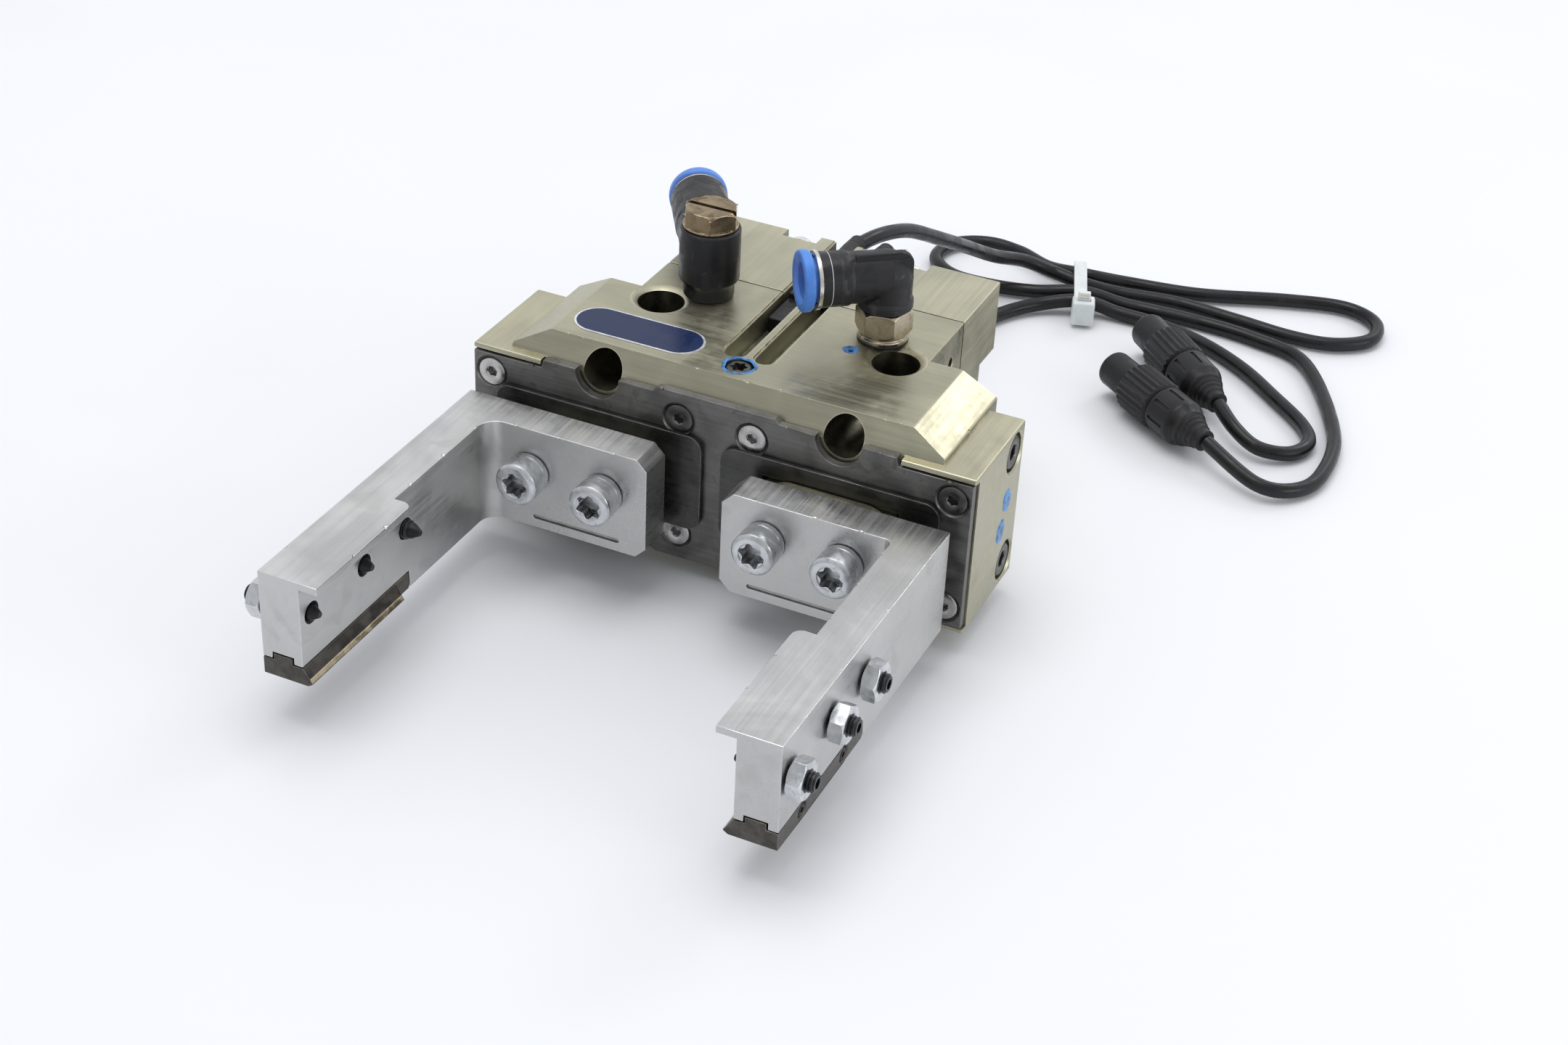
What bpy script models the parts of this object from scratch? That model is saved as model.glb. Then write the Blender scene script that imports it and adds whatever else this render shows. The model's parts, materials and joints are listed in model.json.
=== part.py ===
"""Two-jaw parallel pneumatic gripper with L-shaped fingers, two air fittings and two slot sensors.

Lengths below are millimetres; helpers convert them to metres. Y_DATUM shifts the depth datum so
that the bounding box is centred on the world origin.
"""
import bpy
import bmesh
import math
from mathutils import Matrix, Vector

MM = 0.001
Y_DATUM = 1.9
GAP = 0.3

BODY_HALF = 30.6
CHAMFER_HALF = 36.6
WING_HALF = 42.5
BODY_TOP = 35.0
MID_Z = 17.5
NARROW_HALF = 25.15
REAR_Y = 56.2
SEAM_Y = 35.3
SEAM_STEP_Y = 40.0
SEAM_STEP_X = 15.85
PLATE_FRONT = 1.85
PLATE_BACK = 3.3
BORE_R = 10.8
SPRING_R = 9.0
JAW_STROKE = 6.0
PISTON_STROKE = 7.5
WEDGE_RATIO = JAW_STROKE / PISTON_STROKE
WEDGE_FRONT = 4.5
WEDGE_BACK = 14.0
WEDGE_WIDE = 10.0
FINGER_OUT = 40.6
FINGER_IN = 33.9
FINGER_TIP = -60.0
FINGER_BACK = -2.0
BLOCK_FRONT = -8.2
FINGER_H = 17.5
FINGER_Z = {1: 6.6, -1: 7.7}
FILLET = {1: 1.2, -1: 3.0}
PORT_A = (-14.5, 28.5)
PORT_B = (15.7, 29.0)
ELBOW_DIR = math.radians(218.0)
BANJO_DIR = math.radians(121.8)
ELBOW_Z = 46.0
BANJO_Z = 42.6
COVER_SCREWS = [(39.1, 26.9), (39.1, 8.1), (6.2, 27.8), (6.2, 7.2)]
CABLE_R = 1.3
FACETS = 0.52

for old in list(bpy.data.objects):
    bpy.data.objects.remove(old, do_unlink=True)

PARTS = bpy.data.collections.new("pneumatic_gripper")
CUTTERS = bpy.data.collections.new("cutters")
bpy.context.scene.collection.children.link(PARTS)
bpy.context.scene.collection.children.link(CUTTERS)


def point(x, y, z):
    return Vector((x * MM, (y + Y_DATUM) * MM, z * MM))


def material(name, rgb, metallic, rough):
    mat = bpy.data.materials.new(name + "_mat")
    mat.use_nodes = True
    shader = mat.node_tree.nodes["Principled BSDF"]
    shader.inputs["Base Color"].default_value = (rgb[0], rgb[1], rgb[2], 1.0)
    shader.inputs["Metallic"].default_value = metallic
    shader.inputs["Roughness"].default_value = rough
    mat.diffuse_color = (rgb[0], rgb[1], rgb[2], 1.0)
    return mat


ANODISED = ((0.42, 0.40, 0.28), 0.8, 0.42)
DARK = ((0.06, 0.06, 0.065), 0.6, 0.45)
STEEL = ((0.55, 0.55, 0.56), 1.0, 0.3)
ALU = ((0.62, 0.62, 0.60), 1.0, 0.35)
TOOL = ((0.16, 0.15, 0.13), 1.0, 0.4)
ZINC = ((0.60, 0.63, 0.66), 1.0, 0.3)
BRASS = ((0.50, 0.38, 0.20), 1.0, 0.35)
NICKEL = ((0.62, 0.58, 0.50), 1.0, 0.25)
BLACK = ((0.03, 0.03, 0.032), 0.0, 0.5)
BLUE = ((0.10, 0.33, 0.85), 0.0, 0.4)
NAVY = ((0.03, 0.05, 0.16), 0.0, 0.4)
WHITE = ((0.80, 0.80, 0.78), 0.0, 0.5)
RUBBER = ((0.02, 0.02, 0.02), 0.0, 0.7)


def tidy(mesh):
    bm = bmesh.new()
    bm.from_mesh(mesh)
    bmesh.ops.remove_doubles(bm, verts=bm.verts, dist=1e-6)
    bmesh.ops.recalc_face_normals(bm, faces=bm.faces)
    bm.to_mesh(mesh)
    bm.free()
    return mesh


def place(name, mesh, centre, rotation=None):
    """Object in the cutters collection; finish() moves finished pieces to the parts."""
    ob = bpy.data.objects.new(name, mesh)
    CUTTERS.objects.link(ob)
    ob.location = point(*centre)
    if rotation is not None:
        ob.rotation_euler = rotation
    ob.hide_render = True
    ob.display_type = 'WIRE'
    return ob


def from_bmesh(name, bm):
    mesh = bpy.data.meshes.new(name)
    bm.to_mesh(mesh)
    bm.free()
    return mesh


def box(name, x0, x1, y0, y1, z0, z1, bevel=0.0, segments=2, turn=0.0):
    bm = bmesh.new()
    bmesh.ops.create_cube(bm, size=1.0)
    size = Vector((abs(x1 - x0), abs(y1 - y0), abs(z1 - z0))) * MM
    bmesh.ops.scale(bm, vec=size, verts=bm.verts)
    centre = ((x0 + x1) / 2, (y0 + y1) / 2, (z0 + z1) / 2)
    ob = place(name, from_bmesh(name, bm), centre, (0, 0, turn))
    if bevel > 0:
        soften(ob, bevel, segments)
    return ob


def soften(ob, width, segments=2, angle=30.0):
    mod = ob.modifiers.new("bevel", 'BEVEL')
    mod.width = width * MM
    mod.segments = segments
    mod.limit_method = 'ANGLE'
    mod.angle_limit = math.radians(angle)
    mod.harden_normals = False
    return ob


AXES = {'X': (0, math.pi / 2, 0), 'Y': (-math.pi / 2, 0, 0), 'Z': (0, 0, 0),
        '-X': (0, -math.pi / 2, 0), '-Y': (math.pi / 2, 0, 0)}


def rod(name, centre, radius, length, axis='Z', sides=32, radius2=None, spin=0.0):
    """Cylinder, cone or hexagon prism; local Z runs along the axis."""
    if sides > 6:
        sides = max(10, 2 * round(sides * FACETS / 2))
    bm = bmesh.new()
    top = radius if radius2 is None else radius2
    bmesh.ops.create_cone(bm, cap_ends=True, segments=sides, radius1=radius * MM,
                          radius2=top * MM, depth=length * MM)
    bmesh.ops.rotate(bm, verts=bm.verts, cent=(0, 0, 0), matrix=Matrix.Rotation(spin, 3, 'Z'))
    rotation = AXES[axis] if isinstance(axis, str) else axis
    ob = place(name, from_bmesh(name, bm), centre, rotation)
    smooth(ob)
    return ob


def along(angle):
    """Rotation that lays local Z in the horizontal plane at the given heading."""
    return (0, math.pi / 2, angle)


def smooth(ob):
    for poly in ob.data.polygons:
        poly.use_smooth = True
    return ob


def prism(name, outline, lo, hi, plane, centre=(0, 0, 0), rotation=None):
    """Flat outline extruded from lo to hi. plane XY, XZ or YZ, outline in millimetres."""
    curve = bpy.data.curves.new(name, 'CURVE')
    curve.dimensions = '2D'
    curve.fill_mode = 'BOTH'
    curve.extrude = abs(hi - lo) / 2 * MM
    spline = curve.splines.new('POLY')
    spline.points.add(len(outline) - 1)
    for index, (a, b) in enumerate(outline):
        spline.points[index].co = (a * MM, b * MM, 0, 1)
    spline.use_cyclic_u = True
    temp = bpy.data.objects.new(name + "_curve", curve)
    CUTTERS.objects.link(temp)
    bpy.context.view_layer.update()
    graph = bpy.context.evaluated_depsgraph_get()
    mesh = bpy.data.meshes.new_from_object(temp.evaluated_get(graph))
    bpy.data.objects.remove(temp, do_unlink=True)
    mid = (lo + hi) / 2
    if plane == 'XY':
        turn = Matrix.Identity(4)
        shift = Vector((0, 0, mid * MM))
    elif plane == 'XZ':
        turn = Matrix.Rotation(math.pi / 2, 4, 'X')
        shift = Vector((0, mid * MM, 0))
    else:
        turn = Matrix(((0, 0, 1, 0), (1, 0, 0, 0), (0, 1, 0, 0), (0, 0, 0, 1)))
        shift = Vector((mid * MM, 0, 0))
    mesh.transform(Matrix.Translation(shift) @ turn)
    tidy(mesh)
    return place(name, mesh, centre, rotation)


def turned(name, profile, centre, axis='Z', steps=32, closed=False):
    """Screw-modifier solid from (radius, height) pairs running from the top down the outside."""
    steps = max(12, 2 * round(steps * FACETS / 2))
    mesh = bpy.data.meshes.new(name)
    verts = [(r * MM, 0, h * MM) for r, h in profile]
    edges = [(i, i + 1) for i in range(len(verts) - 1)]
    if closed:
        edges.append((len(verts) - 1, 0))
    mesh.from_pydata(verts, edges, [])
    rotation = AXES[axis] if isinstance(axis, str) else axis
    ob = place(name, mesh, centre, rotation)
    mod = ob.modifiers.new("screw", 'SCREW')
    mod.axis = 'Z'
    mod.steps = steps
    mod.render_steps = steps
    mod.use_merge_vertices = True
    mod.merge_threshold = 0.00001
    mod.use_smooth_shade = True
    mod.use_normal_calculate = True
    return bake(ob)


def tube(name, points, radius, resolution=2):
    curve = bpy.data.curves.new(name, 'CURVE')
    curve.dimensions = '3D'
    curve.bevel_depth = radius * MM
    curve.bevel_resolution = resolution
    curve.use_fill_caps = True
    spline = curve.splines.new('POLY')
    spline.points.add(len(points) - 1)
    for index, (x, y, z) in enumerate(points):
        co = point(x, y, z)
        spline.points[index].co = (co.x, co.y, co.z, 1)
    temp = bpy.data.objects.new(name + "_curve", curve)
    CUTTERS.objects.link(temp)
    bpy.context.view_layer.update()
    graph = bpy.context.evaluated_depsgraph_get()
    mesh = bpy.data.meshes.new_from_object(temp.evaluated_get(graph))
    bpy.data.objects.remove(temp, do_unlink=True)
    tidy(mesh)
    ob = place(name, mesh, (0, -Y_DATUM, 0))
    return smooth(ob)


def boolean(ob, other, operation):
    """The closed machined blocks with many crossing cuts use the manifold solver."""
    mod = ob.modifiers.new(operation.lower(), 'BOOLEAN')
    mod.operation = operation
    mod.solver = 'MANIFOLD' if ob.get("many_cuts") else 'EXACT'
    mod.object = other
    return ob


def cut(ob, *others):
    for other in others:
        boolean(ob, other, 'DIFFERENCE')
    return ob


def join(ob, *others):
    for other in others:
        boolean(ob, other, 'UNION')
    return ob


def bake(ob):
    """Apply every modifier, keep the transform."""
    bpy.context.view_layer.update()
    graph = bpy.context.evaluated_depsgraph_get()
    mesh = bpy.data.meshes.new_from_object(ob.evaluated_get(graph))
    ob.modifiers.clear()
    ob.data = tidy(mesh)
    return ob


EMPTIES = {}


def joint_empty(name, x, y, z):
    empty = bpy.data.objects.new(name, None)
    PARTS.objects.link(empty)
    empty.location = point(x, y, z)
    empty.empty_display_size = 0.005
    EMPTIES[name] = empty
    return empty


def finish(ob, name, look, parent=None):
    """Bake, name, give the piece its own material and hang it on its joint."""
    bake(ob)
    ob.name = name
    ob.data.name = name
    ob.data.materials.clear()
    ob.data.materials.append(material(name, *look))
    for poly in ob.data.polygons:
        poly.material_index = 0
    CUTTERS.objects.unlink(ob)
    PARTS.objects.link(ob)
    ob.hide_render = False
    ob.display_type = 'TEXTURED'
    if parent is not None:
        empty = EMPTIES[parent]
        ob.parent = empty
        ob.location = ob.location - empty.location
    return ob


def arc(cx, cy, r, a0, a1, count):
    out = []
    for index in range(count + 1):
        a = math.radians(a0 + (a1 - a0) * index / count)
        out.append((cx + r * math.cos(a), cy + r * math.sin(a)))
    return out


def stadium(x0, x1, z0, z1, radius, count=8):
    return (arc(x1 - radius, z0 + radius, radius, -90, 0, count)
            + arc(x1 - radius, z1 - radius, radius, 0, 90, count)
            + arc(x0 + radius, z1 - radius, radius, 90, 180, count)
            + arc(x0 + radius, z0 + radius, radius, 180, 270, count))


def hexagon(name, centre, across, length, axis='Z', spin=0.0):
    ob = rod(name, centre, across / math.sqrt(3), length, axis, 6, None, spin)
    for poly in ob.data.polygons:
        poly.use_smooth = False
    return ob


def lobed(name, radius, depth, centre, axis):
    """Six-lobed drive recess."""
    outline = []
    for index in range(12):
        a = 2 * math.pi * index / 12
        r = radius * (0.86 + 0.14 * math.cos(6 * a))
        outline.append((r * math.cos(a), r * math.sin(a)))
    rotation = AXES[axis] if isinstance(axis, str) else axis
    return prism(name, outline, -depth / 2, depth / 2, 'XY', centre, rotation)


def spline_through(points, step):
    """Smooth path through hand-placed points, with a point about every step millimetres."""
    dense = []
    last = len(points) - 1
    for i in range(last):
        p0 = Vector(points[max(i - 1, 0)])
        p1 = Vector(points[i])
        p2 = Vector(points[i + 1])
        p3 = Vector(points[min(i + 2, last)])
        for k in range(12):
            t = k / 12
            a = 2 * p1 + (p2 - p0) * t
            b = (2 * p0 - 5 * p1 + 4 * p2 - p3) * t * t
            c = (3 * p1 - p0 - 3 * p2 + p3) * t * t * t
            dense.append((a + b + c) * 0.5)
    dense.append(Vector(points[-1]))
    total = sum((b - a).length for a, b in zip(dense, dense[1:]))
    spans = round(total / step)
    out = [tuple(dense[0])]
    travelled = 0.0
    for a, b in zip(dense, dense[1:]):
        travelled += (b - a).length
        if travelled >= len(out) * total / spans and len(out) < spans:
            out.append(tuple(b))
    out.append(tuple(dense[-1]))
    return out


# ---------------------------------------------------------------- joints
joint_empty("jaw_right_axis", 20.0, 9.0, MID_Z)
joint_empty("jaw_left_axis", -20.0, 9.0, MID_Z)
joint_empty("piston_axis", 0.0, 28.0, MID_Z)
joint_empty("elbow_axis", PORT_B[0], PORT_B[1], ELBOW_Z)
joint_empty("elbow_ring_axis", PORT_B[0] + 13.0 * math.cos(ELBOW_DIR),
            PORT_B[1] + 13.0 * math.sin(ELBOW_DIR), ELBOW_Z)
joint_empty("banjo_axis", PORT_A[0], PORT_A[1], BANJO_Z)
joint_empty("banjo_ring_axis", PORT_A[0] + 19.8 * math.cos(BANJO_DIR),
            PORT_A[1] + 19.8 * math.sin(BANJO_DIR), BANJO_Z)

# ---------------------------------------------------------------- housing
block = [(-BODY_HALF, 0.0), (BODY_HALF, 0.0), (CHAMFER_HALF, 3.1), (CHAMFER_HALF, 31.9),
         (BODY_HALF, BODY_TOP), (-BODY_HALF, BODY_TOP), (-CHAMFER_HALF, 31.9), (-CHAMFER_HALF, 3.1)]
housing = prism("housing_block", block, 3.3, 25.6, 'XZ')
slope = [(2.4, 28.4), (7.2, 37.2), (2.4, 37.2)]
housing["many_cuts"] = True
cut(housing, prism("slope_top", slope, -38, 38, 'YZ'))
cut(housing, prism("slope_bottom", [(y, BODY_TOP - z) for y, z in reversed(slope)], -38, 38, 'YZ'))
for side in (-1, 1):
    join(housing, box("wing", side * 30.0, side * WING_HALF, 2.2, 22.7, 3.8, 31.2, 0.35, 1))
narrow = [(-NARROW_HALF, 25.0), (NARROW_HALF, 25.0), (NARROW_HALF, SEAM_STEP_Y - 0.15),
          (SEAM_STEP_X + 0.15, SEAM_STEP_Y - 0.15), (SEAM_STEP_X + 0.15, SEAM_Y - 0.15),
          (-NARROW_HALF, SEAM_Y - 0.15)]
join(housing, prism("narrow", narrow, 0.0, BODY_TOP, 'XY'))
bake(housing)
seat = [(-30.5, 3.0), (30.5, 3.0), (30.5, 4.55), (43.0, 4.55), (43.0, 30.45), (30.5, 30.45)]
seat += [(30.5, 32.0), (-30.5, 32.0), (-30.5, 30.45), (-43.0, 30.45), (-43.0, 4.55), (-30.5, 4.55)]
cut(housing, prism("plate_seat", seat, 1.0, 3.6, 'XZ'))
cut(housing, box("jaw_chamber", -39.3, 39.3, 3.0, 14.2, 10.0, 25.0))
cut(housing, box("wedge_chamber", -12, 12, 14.0, 21.8, 11.0, 24.0))
cut(housing, rod("rod_bore", (0, 23.5, MID_Z), 4.0, 5.0, 'Y'))
cut(housing, rod("rod_seal_groove", (0, 23.55, MID_Z), 5.5, 1.9, 'Y'))
cut(housing, rod("piston_bore", (0, 31.0, MID_Z), BORE_R, 12.0, 'Y', 48))
face_ring = [(12.75, 1.0), (12.75, -1.2), (11.35, -1.2), (11.35, 1.0)]
cut(housing, turned("face_groove", face_ring, (0, SEAM_Y - 0.15, MID_Z), 'Y', 48, True))
bake(housing)
thru = [(0, 36.0), (5.2, 36.0), (3.8, 34.6), (3.8, 0.4), (5.2, -1.0), (0, -1.0)]
for side in (-1, 1):
    cut(housing, turned("through_hole", thru, (side * 20.4, 23.4, 0), 'Z', 40))
    for z in (31.2, 3.8):
        cut(housing, rod("front_bore", (side * 20.4, 12.4, z), 3.25, 22.0, 'Y', 40))
bake(housing)
SLOTS = [(-4.3, -0.6), (1.0, 4.1)]


def slot_cutter(x0, x1):
    half = (x1 - x0) / 2
    mid = (x0 + x1) / 2
    outline = arc(mid, 12.2 + half, half, 180, 360, 10) + [(x1, 60.0), (x0, 60.0)]
    return prism("slot", outline, 30.6, 37.0, 'XY')


for x0, x1 in SLOTS:
    cut(housing, slot_cutter(x0, x1))
for px, py in (PORT_A, PORT_B):
    cut(housing, rod("port_hole", (px, py, 27.5), 2.5, 17.0, 'Z', 24))
cut(housing, rod("air_way_a", (-12.0, 27.0, 20.5), 0.8, 6.0, 'X', 12))
cut(housing, rod("air_way_b", (14.2, 32.6, 20.5), 0.8, 7.0, 'Y', 12))
bake(housing)
for side in (-1, 1):
    for x, z in COVER_SCREWS:
        cut(housing, rod("cover_screw_hole", (side * x, 6.5, z), 1.5, 7.4, 'Y', 16))
    for z in (27.2, 7.7):
        cut(housing, rod("end_counterbore", (side * 41.3, 18.9, z), 3.25, 4.0, 'X', 28))
        cut(housing, rod("end_screw_hole", (side * 36.0, 18.9, z), 1.8, 8.0, 'X', 16))
    cut(housing, rod("end_plug_hole", (side * 41.8, 17.4, 19.5), 1.1, 3.6, 'X', 16))
    cut(housing, rod("end_plug_hole", (side * 41.8, 15.8, 14.7), 1.1, 3.6, 'X', 16))
bake(housing)
cut(housing, rod("top_plug_hole", (0, 9.8, 33.9), 2.45, 3.8, 'Z', 28))
cut(housing, rod("small_plug_hole", (12.9, 23.0, 34.0), 1.2, 3.8, 'Z', 16))
cut(housing, rod("side_mark_hole", (25.2, 35.2, 29.9), 1.0, 3.0, 'X', 16))
for side in (-1, 1):
    for z in (32.2, 2.8):
        cut(housing, rod("tie_screw_hole", (side * 10.0, 33.4, z), 1.8, 5.4, 'Y', 16))
finish(housing, "housing", ANODISED)

# ---------------------------------------------------------------- spring housing
rear = box("rear_block", -NARROW_HALF, NARROW_HALF, SEAM_Y + 0.15, REAR_Y, 0.0, BODY_TOP, 0.3, 1)
rear["many_cuts"] = True
cut(rear, box("rear_step", SEAM_STEP_X - 0.15, 27, 34.0, SEAM_STEP_Y + 0.15, -1, 36))
for x0, x1 in SLOTS:
    cut(rear, slot_cutter(x0, x1))
cut(rear, rod("cylinder_end", (0, 37.0, MID_Z), BORE_R, 5.0, 'Y', 48))
cut(rear, rod("spring_bore", (0, 45.5, MID_Z), SPRING_R, 14.0, 'Y', 40))
bake(rear)
for side in (-1, 1):
    for flip in (False, True):
        half = [(side * 10 - 3.1, 36.5)] + arc(side * 10, 32.0, 3.1, 180, 360, 10)
        half.append((side * 10 + 3.1, 36.5))
        if flip:
            half = [(x, BODY_TOP - z) for x, z in reversed(half)]
        cut(rear, prism("rear_notch", half, 53.5, 57.5, 'XZ'))
        z = 2.8 if flip else 32.2
        cut(rear, rod("tie_screw_hole", (side * 10.0, 45.0, z), 1.8, 20.0, 'Y', 16))
    for z in (7.0, 28.0):
        cut(rear, rod("mount_thread", (side * 18.0, 53.0, z), 2.1, 8.0, 'Y', 20))
cut(rear, box("corner_relief", 21.5, 27, 49.5, 57.5, -1, 22.7))
cut(rear, rod("air_way_b", (14.2, 37.6, 20.5), 0.8, 6.0, 'Y', 12))
cut(rear, rod("air_way_cross", (11.5, 39.8, 20.5), 0.8, 7.0, 'X', 12))
finish(rear, "spring_housing", ANODISED)

# ---------------------------------------------------------------- front cover plate
edge_top = [(-42.2, 30.15), (-30.2, 30.15), (-29.8, 31.6)]
edge_top += arc(-20.4, 31.2, 3.75, 173.88, 366.12, 9)
edge_top += [(-10.6, 31.6), (-9.8, 32.4)]
outline = edge_top + [(-x, z) for x, z in reversed(edge_top)]
outline = outline + [(x, BODY_TOP - z) for x, z in reversed(outline)]
plate = prism("plate", outline, PLATE_FRONT, PLATE_BACK, 'XZ')
plate["many_cuts"] = True
for side in (-1, 1):
    opening = stadium(8.7, 37.3, 12.2, 22.8, 1.5, 3)
    opening = [(side * x, z) for x, z in opening]
    cut(plate, prism("jaw_opening", opening, 1.0, 4.2, 'XZ'))
    for x, z in COVER_SCREWS:
        sink = [(0, 1.6), (2.6, 1.6), (2.6, 0.45), (1.55, -0.55), (1.55, -2.0), (0, -2.0)]
        cut(plate, turned("countersink", sink, (side * x, 2.45, z), (math.pi / 2, 0, 0), 24))
finish(plate, "front_cover_plate", DARK)

# ---------------------------------------------------------------- fixed screws and plug
count = 0
for side in (-1, 1):
    for x, z in COVER_SCREWS:
        count += 1
        screw = turned("cover_screw", [(0, 0.5), (2.35, 0.5), (2.35, 0.25), (1.25, -0.85),
                                       (1.25, -6.6), (0, -6.6)], (side * x, 2.45, z), '-Y', 24)
        cut(screw, hexagon("key", (side * x, 2.2, z), 1.6, 1.6, 'Y'))
        finish(screw, "cover_screw_" + str(count), STEEL)
for side, word, axis in ((-1, "left", '-X'), (1, "right", 'X')):
    for z, level in ((27.2, "upper"), (7.7, "lower")):
        screw = turned("end_screw", [(0, 1.3), (2.75, 1.3), (2.75, -1.3), (1.5, -1.3), (1.5, -6.6),
                                     (0, -6.6)], (side * 40.95, 18.9, z), axis, 28)
        cut(screw, hexagon("key", (side * 41.8, 18.9, z), 2.5, 2.6, 'X'))
        finish(screw, "end_screw_" + word + "_" + level, STEEL)
plug = turned("plug", [(0, 34.85), (2.15, 34.85), (2.15, 32.3), (0, 32.3)], (0, 9.8, 0), 'Z', 28)
cut(plug, lobed("drive", 1.35, 1.8, (0, 9.8, 34.6), 'Z'))
finish(plug, "sealing_plug", STEEL)
for side, word in ((-1, "left"), (1, "right")):
    screw = turned("rear_screw", [(0, 1.2), (1.4, 1.1), (2.2, 0.7), (2.6, 0.1), (2.7, -1.1),
                                  (1.5, -1.1), (1.5, -22.6), (0, -22.6)],
                   (side * 10, 54.9, 32.2), 'Y', 28)
    cut(screw, lobed("drive", 1.3, 2.0, (side * 10, 55.9, 32.2), 'Y'))
    finish(screw, "rear_screw_" + word, STEEL)

# ---------------------------------------------------------------- sensors
sensor = box("sensor_low", -3.95, -0.95, 28.5, 55.0, 30.9, 33.6, 0.25, 1)
join(sensor, box("sensor_high", -3.95, -0.95, 36.0, 51.0, 33.0, 34.6, 0.0, 1))
cut(sensor, rod("clamp_hole", (-2.45, 53.2, 33.4), 1.25, 2.4, 'Z', 16))
finish(sensor, "sensor_left", BLACK)
sensor = box("sensor_low", 1.3, 3.8, 38.0, 55.0, 30.9, 33.6, 0.25, 1)
join(sensor, box("sensor_high", 1.3, 3.8, 41.0, 51.0, 33.0, 34.6, 0.0, 1))
cut(sensor, rod("clamp_hole", (2.55, 53.2, 33.4), 1.1, 2.4, 'Z', 16))
finish(sensor, "sensor_right", BLACK)
# ---------------------------------------------------------------- cylinder: seals, piston, spring
piston = turned("piston", [(0.0, 3.5), (10.5, 3.5), (10.5, 2.7), (8.7, 2.7), (8.7, 1.0), (10.5, 1.0),
                           (10.5, 0.0), (7.5, 0.0), (7.5, -2.7), (0.0, -2.7)],
                (0, 28.0, MID_Z), 'Y', 40)
finish(piston, "piston", ALU, "piston_axis")
finish(turned("piston_ring", [(10.5, 0.55), (10.5, -0.55), (9.0, -0.55), (9.0, 0.55)],
              (0, 29.85, MID_Z), 'Y', 40, True), "piston_seal", RUBBER, "piston_axis")
finish(turned("magnet", [(10.2, 1.05), (10.2, -1.05), (7.8, -1.05), (7.8, 1.05)],
              (0, 26.65, MID_Z), 'Y', 40, True), "piston_magnet", DARK, "piston_axis")
coil = []
for k in range(61):
    a = 2 * math.pi * k / 12
    coil.append((7.6 * math.cos(a), 40.9 + 10.2 * k / 60, MID_Z + 7.6 * math.sin(a)))
finish(tube("coil", coil, 0.85, 1), "force_spring", STEEL)

# ---------------------------------------------------------------- wedge hook
def flank(y, extra):
    return WEDGE_WIDE - WEDGE_RATIO * (y - WEDGE_FRONT) + extra


wedge = prism("wedge", [(-flank(WEDGE_FRONT, 0), WEDGE_FRONT), (flank(WEDGE_FRONT, 0), WEDGE_FRONT),
                        (flank(WEDGE_BACK, 0), WEDGE_BACK), (-flank(WEDGE_BACK, 0), WEDGE_BACK)],
              12.0, 23.0, 'XY')


def strip(name, side, near, far, y0, y1, z0, z1):
    pts = [(flank(y0, near), y0), (flank(y0, far), y0), (flank(y1, far), y1), (flank(y1, near), y1)]
    return prism(name, [(side * x, y) for x, y in pts], z0, z1, 'XY')


for side in (-1, 1):
    join(wedge, strip("web", side, -0.6, 2.2, WEDGE_FRONT, WEDGE_BACK, 16.2, 18.8))
    join(wedge, strip("flange", side, 1.5, 2.8, WEDGE_FRONT, WEDGE_BACK, 14.7, 20.3))
join(wedge, rod("stem", (0, 19.0, MID_Z), 3.0, 12.0, 'Y', 28))
finish(wedge, "wedge_hook", STEEL, "piston_axis")

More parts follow.
